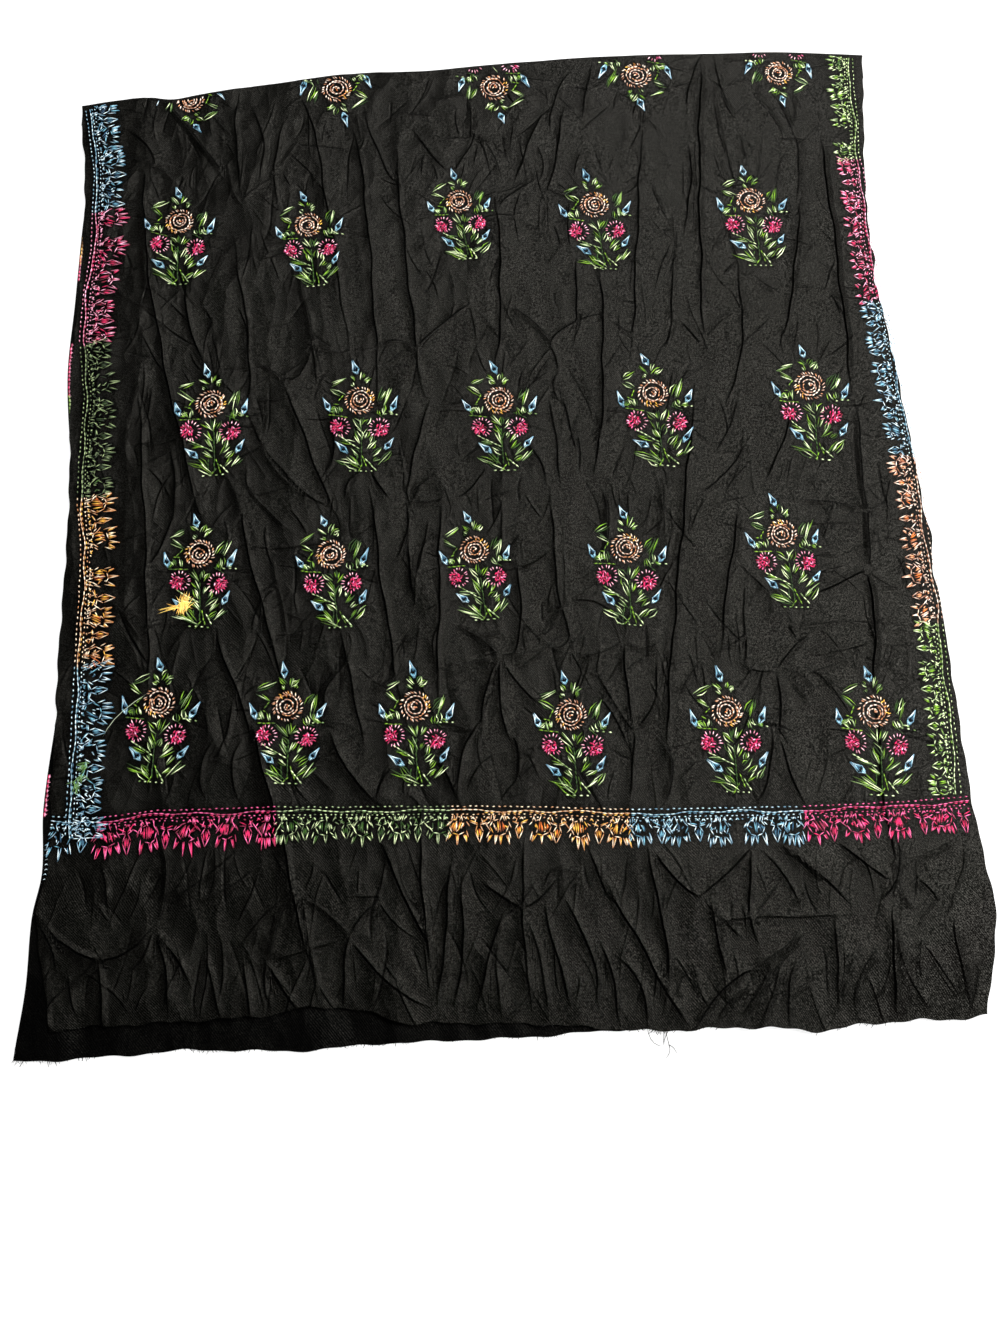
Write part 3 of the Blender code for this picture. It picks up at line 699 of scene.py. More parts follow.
def crest_field(creases):
    """The relief that a set of creases gives, one running into the other without a step."""
    bend_x = 1.3 * np.sin(PLAN_X / 29)
    bend_y = 1.1 * np.sin(PLAN_Y / 31)
    wander_x = 1.1 * np.sin(PLAN_Y / 17 + bend_x) + 0.5 * np.sin(PLAN_Y / 7.3 + PLAN_X / 19)
    wander_y = 1.1 * np.sin(PLAN_X / 21 + bend_y) + 0.5 * np.sin(PLAN_X / 8.1 - PLAN_Y / 23)
    total = np.zeros_like(PLAN_X)
    off = np.full_like(PLAN_X, 2 * LINE_REACH)
    tall = np.zeros_like(PLAN_X)
    for crease in creases:
        points = crest_points(crease)
        reach = max(crease.left, crease.right, LINE_REACH) + 4.0
        low = points.min(axis=0) - reach
        high = points.max(axis=0) + reach
        columns = slice(*np.searchsorted(FIELD_X, (low[0], high[0])))
        rows = slice(*np.searchsorted(FIELD_Y, (low[1], high[1])))
        x = PLAN_X[rows, columns] + wander_x[rows, columns]
        y = PLAN_Y[rows, columns] + wander_y[rows, columns]
        share, own_off, own_share = crest_share(crease, points, x, y)
        total[rows, columns] += (crease.height * share) ** BLEND_POWER
        closer = np.abs(own_off) < np.abs(off[rows, columns])
        off[rows, columns] = np.where(closer, own_off, off[rows, columns])
        tall[rows, columns] = np.where(closer, crease.height * own_share, tall[rows, columns])
    tall *= 1.0 - ease(np.abs(off) / LINE_REACH)
    return Relief(total ** (1.0 / BLEND_POWER), np.clip(off, -LINE_REACH, LINE_REACH), tall)


def short_crease(x, y, heading, length, height, flank):
    """A small crease through a point, along a heading in radians, bowed a little."""
    run_x = math.cos(heading) * length / 2
    run_y = math.sin(heading) * length / 2
    bow = 0.12 * math.sin(3.0 * x + y)
    return Crease(
        x - run_x, y - run_y, x - bow * run_y, y + bow * run_x, x + run_x, y + run_y,
        height, flank, flank * 1.3,
    )


def small_creases():
    """Fine wrinkles: fans where a bouquet draws the cloth in, gathers at the borders, and strays."""
    rng = seeded(0)
    found = []

    def add(x, y, heading, lengths, heights, flanks):
        length = rng.uniform(*lengths)
        height = rng.uniform(*heights)
        found.append(short_crease(x, y, heading, length, height, rng.uniform(*flanks)))

    for bouquet in BOUQUETS:
        turn = math.radians(bouquet.lean)
        middle_x = bouquet.x + FAN_DROP * bouquet.size * math.sin(turn)
        middle_y = bouquet.y - FAN_DROP * bouquet.size * math.cos(turn)
        for angle in np.arange(0.0, 2 * math.pi, 0.36):
            angle += rng.uniform(-0.15, 0.15)
            reach = rng.uniform(0.8, 1.5)
            x = middle_x + FAN_HALF_WIDTH * reach * math.cos(angle)
            y = middle_y + FAN_HALF_HEIGHT * reach * math.sin(angle)
            heading = math.atan2(1.6 * math.sin(angle), math.cos(angle)) + rng.uniform(-0.3, 0.3)
            add(x, y, heading, (16, 44), (0.7, 1.7), (4, 8))
    for index in range(STRAY_CREASES):
        x = rng.uniform(-400, 420)
        y = rng.uniform(-300, 500)
        level = 0.0 if index % 5 == 0 else math.pi / 2
        add(x, y, level + rng.normal(0, 0.45), (16, 70), (0.6, 1.9), (3.5, 9))
    for x in np.arange(-395.0, 440.0, 11.0):
        x += rng.uniform(-4, 4)
        y = -365 - rng.uniform(0, 45)
        heading = math.pi / 2 + rng.normal(0, 0.35)
        add(x, y, heading, (18, 60), (0.7, 1.8), (4, 9))
        add(x, -470 + rng.uniform(-15, 30), heading, (18, 70), (0.6, 1.8), (4, 9))
    for y in np.arange(-300.0, 500.0, 13.0):
        for edge in (-395.0, 392.0):
            x = edge + rng.uniform(-12, 12)
            add(x, y, rng.normal(0, 0.5), (12, 36), (0.5, 1.3), (4, 8))
    return found


def ripple_field():
    """Height of the lower hem's ripples, which lift both stretches."""
    from_hem = PLAN_Y - lower_hem(PLAN_X)
    fade = 1.0 - ease((from_hem - RIPPLE_FULL) / (RIPPLE_END - RIPPLE_FULL))
    lift = np.zeros_like(PLAN_X)
    for ripple in RIPPLES:
        away = np.clip(np.abs(PLAN_X - ripple.x) / ripple.half_width, 0.0, 1.0)
        lift += ripple.height * (0.5 + 0.5 * np.cos(math.pi * away))
    return lift * fade


SMALL_CREASES = small_creases()
MAIN_CRESTS = crest_field(CREASES)
SMALL_CRESTS = crest_field(SMALL_CREASES[0::3] + SMALL_CREASES[1::3])
SMALL_TROUGHS = crest_field(SMALL_CREASES[2::3])


def upper_field():
    """Level of the upper stretch's face over the whole plan."""
    waves = np.sin(2 * math.pi * PLAN_X / WAVE_ACROSS + PLAN_Y / WAVE_ALONG)
    waves *= np.cos(2 * math.pi * PLAN_Y / WAVE_ALONG)
    crests = np.maximum(MAIN_SHARE * MAIN_CRESTS.height, SMALL_SHARE * SMALL_CRESTS.height)
    puff = FULLNESS + WAVE_HEIGHT * waves + crests - SMALL_SHARE * SMALL_TROUGHS.height
    left = PLAN_X - side_line("upper", "left", PLAN_Y)
    right = side_line("upper", "right", PLAN_Y) - PLAN_X
    side = between(SIDE_SHARE, 1.0, ease(np.minimum(left, right) / SIDE_EASE))
    return UPPER_LEVEL + ripple_field() + side * np.maximum(soften(puff, 1), LOWEST_PUFF)


def lower_field():
    """Level of the lower stretch's face: its ripples, and fine wrinkles where it shows."""
    rng = seeded(1)
    wrinkles = []
    for x in np.arange(-440.0, 150.0, 9.0):
        y = lower_hem(x) + rng.uniform(4, 40)
        heading = math.pi / 2 + rng.normal(0, 0.4)
        wrinkles.append(short_crease(x, y, heading, rng.uniform(20, 60), rng.uniform(0.4, 1.0), 7))
    near_hem = 1.0 - ease((PLAN_Y - lower_hem(PLAN_X) - 40) / 40)
    return WALL + ripple_field() + soften(crest_field(wrinkles).height, 2) * near_hem


UPPER = upper_field()
LOWER = lower_field()


def upper_face(x, y):
    return read_field(UPPER, x, y)


def lower_face(x, y):
    return read_field(LOWER, x, y)


def with_edges(x, y, hem):
    """Adds the turned-under strips at the sides and the hem to a sheet's plan, and their depths."""
    inset = np.array([edge[0] for edge in EDGE_SECTION])
    depth = np.array([edge[1] for edge in EDGE_SECTION])
    count = len(EDGE_SECTION)
    left_x = x[:, :1] + inset
    right_x = x[:, -1:] - inset[::-1]
    side_y = np.repeat(y[:, :1], count, axis=1), np.repeat(y[:, -1:], count, axis=1)
    x = np.hstack([left_x, x, right_x])
    y = np.hstack([side_y[0], y, side_y[1]])
    side_depth = np.hstack([depth, np.zeros(x.shape[1] - 2 * count), depth[::-1]])
    under_x = np.repeat(x[:1], count, axis=0)
    under_y = hem(under_x) + inset[:, None]
    x = np.vstack([under_x, x])
    y = np.vstack([under_y, y])
    hem_depth = np.hstack([depth, np.zeros(x.shape[0] - count)])
    return x, y, np.maximum(side_depth[None, :], hem_depth[:, None])


def new_object(name, points, faces):
    """An object in the scene, through points given in the plan's millimetres."""
    mesh = bpy.data.meshes.new(name)
    mesh.from_pydata(((points - (MIDDLE_X, MIDDLE_Y, 0.0)) * MM).tolist(), [], faces)
    mesh.shade_smooth()
    made = bpy.data.objects.new(name, mesh)
    bpy.context.scene.collection.objects.link(made)
    return made


def add_field(mesh, name, values):
    """Keeps a value at each point of a mesh, for its material to read."""
    layer = mesh.attributes.new(name, "FLOAT", "POINT")
    layer.data.foreach_set("value", values.ravel().astype(np.float32))


def sheet_mesh(name, x, y, z, cut_length, material, fields):
    """A sheet through a grid of points. Its UV map keeps its place on the flat cut, and its
    attributes are fields over the plan, in millimetres."""
    rows, columns = x.shape
    first = (np.arange(rows - 1)[:, None] * columns + np.arange(columns - 1)).ravel()
    faces = np.stack([first, first + 1, first + columns + 1, first + columns], axis=1)
    sheet = new_object(name, np.stack([x, y, z], axis=-1).reshape(-1, 3), faces.tolist())
    step = np.hypot(np.diff(y, axis=0), np.diff(z, axis=0)).mean(axis=1)
    along = np.concatenate([[0.0], np.cumsum(step)])
    along *= cut_length / along[-1]
    across = np.linspace(0.0, CUT_WIDTH, columns)
    flat = np.stack(np.broadcast_arrays(across[None, :], along[:, None]), axis=-1).reshape(-1, 2)
    layer = sheet.data.uv_layers.new(name="flat_cut")
    layer.uv.foreach_set("vector", flat[faces.ravel()].astype(np.float32).ravel())
    for label, field in fields.items():
        add_field(sheet.data, label, read_field(field, x, y))
    sheet.data.set_sharp_from_angle(angle=SHARP_TURN)
    sheet.data.materials.append(material)
    return sheet


def grid(columns, shares):
    return np.meshgrid(np.linspace(0, 1, columns + 1), shares)


def front_sheet(material, sewn_share):
    """The upper stretch: its face, its turned edges, round the fold and back under to the seam."""
    across, share = grid(FRONT_COLUMNS, np.linspace(0, 1, FRONT_ROWS + 1))
    x, y = place(across, share, "upper", upper_hem, turn_line)
    x, y, depth = with_edges(x, y, upper_hem)
    z = upper_face(x, y) - depth
    last_x = x[-1:]
    last_y = y[-1:]
    radius = upper_face(last_x, last_y) / 2
    turned = np.linspace(0, math.pi, TURN_STEPS + 1)[1:, None]
    reach = fold_line(last_x) - last_y
    turn_y = last_y + (reach - depth[-1:]) * np.sin(turned)
    turn_z = radius + (radius - depth[-1:]) * np.cos(turned)
    lip = np.linspace(0, 1, LIP_STEPS + 1)[1:, None]
    lip_y = between(last_y, seam_line(last_x), lip)
    lip_z = np.repeat(depth[-1:], LIP_STEPS, axis=0)
    x = np.vstack([x, np.repeat(last_x, TURN_STEPS + LIP_STEPS, axis=0)])
    y = np.vstack([y, turn_y, lip_y])
    z = np.vstack([z, turn_z, lip_z])
    # The stitches' field, where the material paints shade round the stitches
    fields = {"sewn": sewn_share}
    for label, relief in zip(("crest", "small", "trough"), (MAIN_CRESTS, SMALL_CRESTS, SMALL_TROUGHS)):
        fields[label + "_off"] = relief.off
        fields[label + "_tall"] = relief.tall
    return sheet_mesh("front_cloth", x, y, z, FRONT_LENGTH, material, fields)


def back_sheet(material):
    """The lower stretch: flat, but for the ripples at its hem."""
    def ripple_line(x):
        return lower_hem(x) + RIPPLE_END

    def end_line(x):
        return seam_line(x) - SEAM_GAP

    across, share = grid(BACK_COLUMNS, np.linspace(0, 1, BACK_HEM_ROWS + 1))
    hem_x, hem_y = place(across, share, "lower", lower_hem, ripple_line)
    across, share = grid(BACK_COLUMNS, np.linspace(0, 1, BACK_ROWS + 1)[1:])
    rest_x, rest_y = place(across, share, "lower", ripple_line, end_line)
    x, y, depth = with_edges(np.vstack([hem_x, rest_x]), np.vstack([hem_y, rest_y]), lower_hem)
    z = lower_face(x, y) - depth
    return sheet_mesh("back_cloth", x, y, z, BACK_LENGTH, material, {})


def sewn_field(stitches):
    """How thick the stitches lie round each place of the face, from 0 to 1."""
    ends = np.array([s[:4] for s in stitches], float)
    spots = np.concatenate([between(ends[:, :2], ends[:, 2:], share) for share in SEWN_SPOTS])
    columns = np.rint((spots[:, 0] - FIELD_X[0]) / FIELD_STEP).astype(int)
    rows = np.rint((spots[:, 1] - FIELD_Y[0]) / FIELD_STEP).astype(int)
    count = np.zeros_like(PLAN_X)
    np.add.at(count, (rows, columns), 1.0)
    return np.clip(soften(count, 2) * PAINTED_SHADE_AREA / FIELD_STEP**2, 0.0, 1.0)


Stitch = namedtuple("Stitch", "x1 y1 x2 y2 tone width bow", defaults=(THREAD, 0.0))


def turned_point(x, y, turn):
    return x * math.cos(turn) - y * math.sin(turn), x * math.sin(turn) + y * math.cos(turn)


def placed(stitches, x, y, size, lean):
    """Moves stitches from a motif's own millimetres to their place on the cloth."""
    turn = math.radians(lean)
    moved = []
    for s in stitches:
        x1, y1 = turned_point(s.x1 * size, s.y1 * size, turn)
        x2, y2 = turned_point(s.x2 * size, s.y2 * size, turn)
        moved.append(Stitch(x + x1, y + y1, x + x2, y + y2, s.tone, s.width, s.bow * size))
    return moved


def ray(x, y, near, angle, far, far_angle, tone, width=THREAD, bow=0.0):
    """A stitch round a point, from one distance and angle to another."""
    return Stitch(
        x + near * math.cos(angle), y + near * math.sin(angle),
        x + far * math.cos(far_angle), y + far * math.sin(far_angle), tone, width, bow,
    )


def sewn_line(rng, x1, y1, x2, y2, tone, width, pitch, gap):
    """A line of stitches end to end, lapping where gap is negative and broken where it isn't."""
    length = math.hypot(x2 - x1, y2 - y1)
    count = max(1, round(length / pitch))
    made = []
    for step in range(count):
        start = step / count
        end = (step + 1) / count - gap / length
        ax, ay = between(x1, x2, start), between(y1, y2, start)
        bx, by = between(x1, x2, end), between(y1, y2, end)
        jog = rng.uniform(-0.35, 0.35, 4)
        made.append(Stitch(ax + jog[0], ay + jog[1], bx + jog[2], by + jog[3], tone, width))
    return made


def sewn_leaf(rng, x1, y1, x2, y2, half, tone):
    """A leaf of a few long stitches with cloth between them: closed at its tip, or fanned out."""
    count = max(3, round(2 * half / 1.5))
    run = math.hypot(x2 - x1, y2 - y1)
    side_x, side_y = -(y2 - y1) / run, (x2 - x1) / run
    shades = (tone, LEAF_EDGES[tone], "light_leaf", "dark_leaf", tone)
    first = int(rng.integers(0, len(shades)))
    near_share, far_share, bow = FANNED_LEAF if rng.uniform() < FANNED_LEAVES else CLOSED_LEAF
    made = []
    for index in range(count):
        aside = half * (2 * index / (count - 1) - 1) * rng.uniform(1.0, 1.35)
        start = rng.uniform(-0.1, 0.3)
        end = rng.uniform(0.72, 1.08)
        near = near_share * aside + rng.uniform(-0.6, 0.6)
        far = far_share * aside + rng.uniform(-0.9, 0.9)
        made.append(Stitch(
            between(x1, x2, start) + side_x * near, between(y1, y2, start) + side_y * near,
            between(x1, x2, end) + side_x * far, between(y1, y2, end) + side_y * far,
            shades[(first + index) % len(shades)], THREAD * rng.uniform(0.75, 1.0), bow * aside,
        ))
    return made


def sewn_bud(rng, x1, y1, x2, y2, half, tones):
    """A drop-shaped bud: pale outline, a half filled foot, a dark heart and a tick beside it."""
    main, pale, deep = tones
    run = math.hypot(x2 - x1, y2 - y1)
    along_x, along_y = (x2 - x1) / run, (y2 - y1) / run
    made = []

    def at(share, aside):
        return (
            x1 + along_x * run * share - along_y * aside + rng.uniform(-0.45, 0.45),
            y1 + along_y * run * share + along_x * aside + rng.uniform(-0.45, 0.45),
        )

    def sew(share, aside, far_share, far_aside, tone, width, bow=0.0):
        made.append(Stitch(*at(share, aside), *at(far_share, far_aside), tone, width, bow))

    for hand in (-1, 1):
        sew(-0.04, 0.4 * hand, 0.36, 0.9 * half * hand, pale, 1.1, -0.9 * hand)
        sew(0.3, 0.9 * half * hand, 1.06, 0.1 * hand, pale, 1.05, -0.7 * hand)
        sew(0.06, 1.2 * hand, 0.36, 0.6 * half * hand, main, 1.4)
        sew(0.34, 0.5 * half * hand, 0.84, 0.1 * hand, main, 1.1)
    sew(0.02, 0.0, 0.3, 0.2, main, 1.4)
    sew(0.5, 0.5, 0.94, 0.1, pale, 0.8)
    sew(0.36, -0.3, 0.56, -0.2, deep, 1.3)
    return made


def arc_stitches(rng, radius, start, end, pitch, tone, width):
    """Stitches end to end along an arc round a motif's middle or near it, lapping a little."""
    count = max(1, round(abs(end - start) * radius / pitch))
    off_x, off_y = rng.uniform(-0.9, 0.9, 2)
    made = []
    for index in range(count):
        angle = between(start, end, index / count)
        far_angle = between(start, end, (index + 1.15) / count)
        near = radius + rng.uniform(-0.55, 0.55)
        far = radius + rng.uniform(-0.55, 0.55)
        made.append(ray(off_x, off_y, near, angle, far, far_angle, tone, width, -0.35))
    return made


def sewn_rose(rng):
    """A rose in peach: slanted dashes round two broken rings, and a swirled heart."""
    made = []
    gold_at = rng.uniform(0.0, 2 * math.pi)
    for index in range(ROSE_DASHES):
        angle = 2 * math.pi * index / ROSE_DASHES + rng.uniform(-0.07, 0.07)
        near = ROSE_RADIUS - 3.0 + rng.uniform(-0.5, 0.4)
        far = ROSE_RADIUS + rng.uniform(-0.8, 0.6)
        slanted = angle + rng.uniform(0.1, 0.26)
        golden = math.cos(angle - gold_at) > 0.8
        tone = (GOLD_DASHES if golden else PEACH_DASHES)[index % 3]
        made.append(ray(0, 0, near, angle, far, slanted, tone, THREAD * rng.uniform(0.85, 1.1)))
        if golden and index % 2:
            made.append(ray(0, 0, near - 3.0, angle + 0.1, far - 2.0, slanted, "gold"))
    for radius in ROSE_RINGS:
        start = rng.uniform(0.0, 2 * math.pi)
        end = start + rng.uniform(4.9, 5.8)
        made += arc_stitches(rng, radius, start, end, 3.6, "pale_peach", 1.3)
        made += arc_stitches(rng, radius - 0.9, end, end + 2.0, 3.0, "peach", 1.1)
    start = rng.uniform(0.0, 2 * math.pi)
    made += arc_stitches(rng, ROSE_HEART, start, start + 4.2, 2.6, "pale_peach", 1.2)
    for tone in ("orange", "peach", "pale_gold"):
        angle = rng.uniform(0, 2 * math.pi)
        made.append(ray(0, 0, 0.5, angle, 2.6, angle + 1.6, tone, 1.2))
    return made


def sewn_ray_flower(rng, x, y, facing):
    """A magenta flower: a knotted blob on its outer side, and short pale rays that stand clear of it
    on the side that it faces, an angle."""
    made = []
    radius = FLOWER_RADIUS
    turn = facing + rng.uniform(-0.5, 0.5)
    blob_x, blob_y = x - 0.22 * radius * math.cos(turn), y - 0.22 * radius * math.sin(turn)
    for index in range(BLOB_STITCHES):
        angle = 2.4 * index
        reach = 0.6 * radius * math.sqrt((index + 0.5) / BLOB_STITCHES) * rng.uniform(0.8, 1.15)
        heading = rng.uniform(0, 2 * math.pi)
        cx, cy = blob_x + reach * math.cos(angle), blob_y + reach * math.sin(angle)
        dx, dy = 2.1 * math.cos(heading), 2.1 * math.sin(heading)
        made.append(Stitch(cx - dx, cy - dy, cx + dx, cy + dy, BLOB_TONES[index % len(BLOB_TONES)], 1.4))
    for index in range(11):
        angle = turn + 1.75 * (index / 5 - 1) + rng.uniform(-0.07, 0.07)
        near = radius * rng.uniform(0.66, 0.76)
        far = radius * rng.uniform(0.98, 1.14)
        tone = ("pink", "pale_pink", "pale_pink")[index % 3]
        made.append(ray(x, y, near, angle, far, angle, tone, rng.uniform(0.9, 1.1)))
    for index in range(7):
        angle = turn + math.pi + 0.36 * (index - 3) + rng.uniform(-0.1, 0.1)
        made.append(Stitch(
            x + 0.55 * radius * math.cos(angle), y + 0.55 * radius * math.sin(angle),
            x + rng.uniform(0.85, 1.0) * radius * math.cos(angle),
            y + rng.uniform(0.85, 1.0) * radius * math.sin(angle),
            ("hot_pink", "pink", "magenta")[index % 3], 1.2,
        ))
    return made


def bouquet_stitches(rng):
    """One bouquet in its own millimetres, sewn a little differently each time."""
    made = []
    for shape in BOUQUET_SHAPES:
        jog = rng.uniform(-1.5, 1.5, 4)
        x1, y1 = shape.x1 + jog[0], shape.y1 + jog[1]
        x2, y2 = shape.x2 + jog[2], shape.y2 + jog[3]
        if shape.kind == "bud":
            made += sewn_bud(rng, x1, y1, x2, y2, shape.half, FAMILIES[shape.tone])
        elif shape.kind == "leaf":
            made += sewn_leaf(rng, x1, y1, x2, y2, shape.half, shape.tone)
        else:
            made += sewn_line(rng, x1, y1, x2, y2, shape.tone, shape.half, *LINE_STEPS[shape.kind])
    for x, y, facing in FLOWER_PLACES:
        made += sewn_ray_flower(rng, x + rng.uniform(-1, 1), y + rng.uniform(-1, 1), facing)
    return made + sewn_rose(rng)


def on_upper_stretch(stitches):
    """Keeps the stitches that lie this side of the fold."""
    return [s for s in stitches if max(s.y1, s.y2) < fold_line((s.x1 + s.x2) / 2) - FOLD_MARGIN]


class Border:
    """A border's line, read by distance along it and away from it, and the stitches sewn there."""

    def __init__(self, points, hand, depth):
        self.points = np.array(points, float)
        steps = np.hypot(*np.diff(self.points, axis=0).T)
        self.far = np.concatenate([[0.0], np.cumsum(steps)])
        self.hand = hand
        self.depth = depth
        self.made = []

    def distance_at(self, axis, value):
        """Distance along the line where its X (axis 0) or Y (axis 1) has a value."""
        values = self.points[:, axis]
        order = np.argsort(values)
        return float(np.interp(value, values[order], self.far[order]))

    def on_line(self, along):
        return [np.interp(along, self.far, self.points[:, axis]) for axis in (0, 1)]

    def at(self, along, away):
        """Point on the cloth, a distance along the line and away from it."""
        x, y = self.on_line(along)
        ahead = self.on_line(along + HEADING_STEP)
        behind = self.on_line(along - HEADING_STEP)
        run_x, run_y = ahead[0] - behind[0], ahead[1] - behind[1]
        length = math.hypot(run_x, run_y)
        away *= self.hand * (self.depth if away > INNER_DOTS else 1.0)
        return float(x - run_y / length * away), float(y + run_x / length * away)

    def sew(self, start, end, tone, width, bow=0.0):
        """Sews from one point to another, each a distance along the line and away from it."""
        self.made.append(Stitch(*self.at(*start), *self.at(*end), tone, width, bow * self.hand))


def flower_plan(rng, middle, half, height, lean, loose):
    """Turns a place in a border flower, in shares of its size, into distances from the line."""
    def at(u, t):
        along = middle + (u + lean * t) * half + rng.uniform(-loose, loose)
        return along, FLOWER_FOOT + t * height + rng.uniform(-0.5, 0.5)

    return at


def sew_blossom(rng, border, middle, half, height, fill, tones):
    """A big border flower: a body of stitches side by side, a pale rim, and pointed petals below."""
    main, pale, deep = tones
    at = flower_plan(rng, middle, half, height, rng.uniform(-0.22, 0.22), 0.5)
    slant = rng.uniform(-0.5, 0.5)
    count = int(rng.integers(7, 11))
    for index in range(count):
        if rng.uniform() > fill:
            continue
        u = 2 * index / (count - 1) - 1
        tone = (main, deep, main, deep, main, pale)[int(rng.integers(0, 6))]
        bend = rng.uniform(-0.25, 0.25)
        top = at(0.62 * u + bend, 0.1 + 0.14 * u * u)
        low = at(0.62 * u + slant, 0.5 - 0.16 * u * u)
        border.sew(top, low, tone, rng.uniform(1.0, 1.4) * max(1.0, fill))
    for _ in range(int(rng.integers(3, 7))):
        u, t = rng.uniform(-0.5, 0.5), rng.uniform(0.14, 0.46)
        top = at(u, t)
        border.sew(top, at(u + rng.uniform(-0.4, 0.4), t + rng.uniform(0.06, 0.16)), pale, 0.85)
    for first, second in zip(BLOSSOM_RIM, BLOSSOM_RIM[1:]):
        if rng.uniform() < 0.7:
            border.sew(at(*first), at(*second), pale if rng.uniform() < 0.75 else main, 0.95)
    petals = int(rng.integers(3, 6))
    for index in range(petals):
        u = 1.7 * index / (petals - 1) - 0.85 + rng.uniform(-0.12, 0.12)
        reach = rng.uniform(0.84, 1.06) - 0.14 * u * u
        tip = (1.15 * u, reach)
        spread = rng.uniform(0.1, 0.18)
        border.sew(at(0.8 * u - spread, 0.58), at(*tip), pale, 0.95)
        border.sew(at(0.8 * u + spread, 0.56), at(*tip), pale if index % 2 else main, 1.05)
        if rng.uniform() < fill:
            border.sew(at(0.84 * u, 0.58), at(u, 0.88 * reach), main, 1.3)
    for hand in (-1, 1):
        border.sew(at(0.86 * hand, 0.44), at(1.1 * hand, rng.uniform(0.62, 0.84)), pale, 0.9)
        border.sew(at(0.8 * hand, 0.12), at(1.15 * hand, rng.uniform(0.2, 0.4)), pale, 0.9)
    for _ in range(int(rng.integers(3, 7))):
        u = rng.uniform(-0.9, 0.9)
        border.sew(at(u, -0.1), at(u + rng.uniform(-0.3, 0.3), 0.12), pale, 0.85)


def sew_drop(rng, border, middle, half, height, tones):
    """A small pointed flower between two big ones, with a pair of leaves above it."""
    main, pale, deep = tones
    at = flower_plan(rng, middle, half, height, rng.uniform(-0.5, 0.5), 0.4)
    for hand in (-1, 1):
        border.sew(at(0.25 * hand, 0.3), at(0.85 * hand, 0.56), pale, 0.9)
        border.sew(at(0.85 * hand, 0.54), at(0.0, 1.0), pale, 0.95)
        border.sew(at(0.4 * hand, 0.42), at(0.2 * hand, 0.78), main, 1.3)
        reach = rng.uniform(1.1, 1.9)
        border.sew(at(0.1 * hand, 0.24), at(reach * hand, rng.uniform(0.0, 0.2)), main, 1.1)
        border.sew(at(0.1 * hand, 0.3), at(reach * hand, rng.uniform(0.05, 0.3)), pale, 0.85)
        if rng.uniform() < 0.7:
            border.sew(at(0.5 * hand, 0.02), at(0.9 * hand, 0.3), pale, 0.85)
    border.sew(at(0.0, 0.4), at(0.0, 0.7), deep if rng.uniform() < 0.5 else main, 1.4)


def sew_rows(rng, border, start, end, tones):
    """The plain rows of a border: dots, the line that wanders, dots and little arches."""
    main, pale = tones[:2]

    def sway(along):
        return 0.8 * math.sin(along / 8.0) + 0.9 * math.sin(along / 21.0) + rng.uniform(-0.4, 0.4)

    for offset, pitch, share in ((OUTER_DOTS, 5.4, 0.52), (INNER_DOTS, 4.8, 0.5)):
        for along in np.arange(start + 1.0, end - 2.0, pitch):
            along += rng.uniform(-0.6, 0.6)
            jog = rng.uniform(-0.5, 0.5, 2)
            border.sew((along, offset + jog[0]), (along + pitch * share, offset + jog[1]), pale, 1.05)
    for along in np.arange(start, end - 1.0, 5.2):
        here = sway(along)
        ahead = sway(along + 5.8)
        border.sew((along, here), (along + 5.8, ahead), pale, 1.05)
        if rng.uniform() < 0.6:
            border.sew((along + 0.6, here + 1.5), (along + 4.6, ahead + 1.3), main, 0.9)
    for along in np.arange(start + 2.0, end - 2.0, 5.6):
        along += rng.uniform(-1.2, 1.2)
        row = ARCHES - 0.6 + rng.uniform(-0.6, 0.6)
        border.sew((along, row), (along + rng.uniform(1.2, 2.4), row + rng.uniform(-1, 1)), pale, 1.2)
    for along in np.arange(start + 3.0, end - 3.0, 6.4):
        if rng.uniform() < 0.45:
            continue
        along += rng.uniform(-0.8, 0.8)
        for hand in (-1, 1):
            top = (along + hand * rng.uniform(0.1, 0.5), ARCHES - 1.2)
            tone = pale if rng.uniform() < 0.5 else main
            low = (along + 2.0 * hand, ARCHES + rng.uniform(0.8, 1.8))
            border.sew(top, low, tone, 1.1, 0.5 * hand)


def sew_section(rng, border, axis, section):
    """A stretch of border in one family of threads: its rows and its alternating flowers."""
    start = border.distance_at(axis, section.start)
    end = border.distance_at(axis, section.end)
    tones = FAMILIES[section.thread]
    sew_rows(rng, border, start, end, tones)
    count = max(1, round((end - start) / FLOWER_PITCH))
    pitch = (end - start) / count
    for index in range(count):
        middle = start + pitch * (index + 0.5) + rng.uniform(-1.6, 1.6)
        height = (section.reach - FLOWER_FOOT) * rng.uniform(0.88, 1.06)
        if index % 2 and rng.uniform() < MISSING_DROPS:
            continue
        if index % 2:
            half = rng.uniform(3.8, 5.2)
            sew_drop(rng, border, middle, half, 0.84 * height, tones)
        else:
            half = rng.uniform(8.8, 11.4)
            sew_blossom(rng, border, middle, half, height, section.fill, tones)
        toward = 1 if index % 2 else -1
        near = (middle + toward * 4, FLOWER_FOOT + rng.uniform(0, 4))
        far = (middle + toward * pitch * 0.62, FLOWER_FOOT + rng.uniform(8, 14))
        if rng.uniform() < 0.6:
            border.sew(near, far, tones[1], 0.9, rng.uniform(-0.8, 0.8))


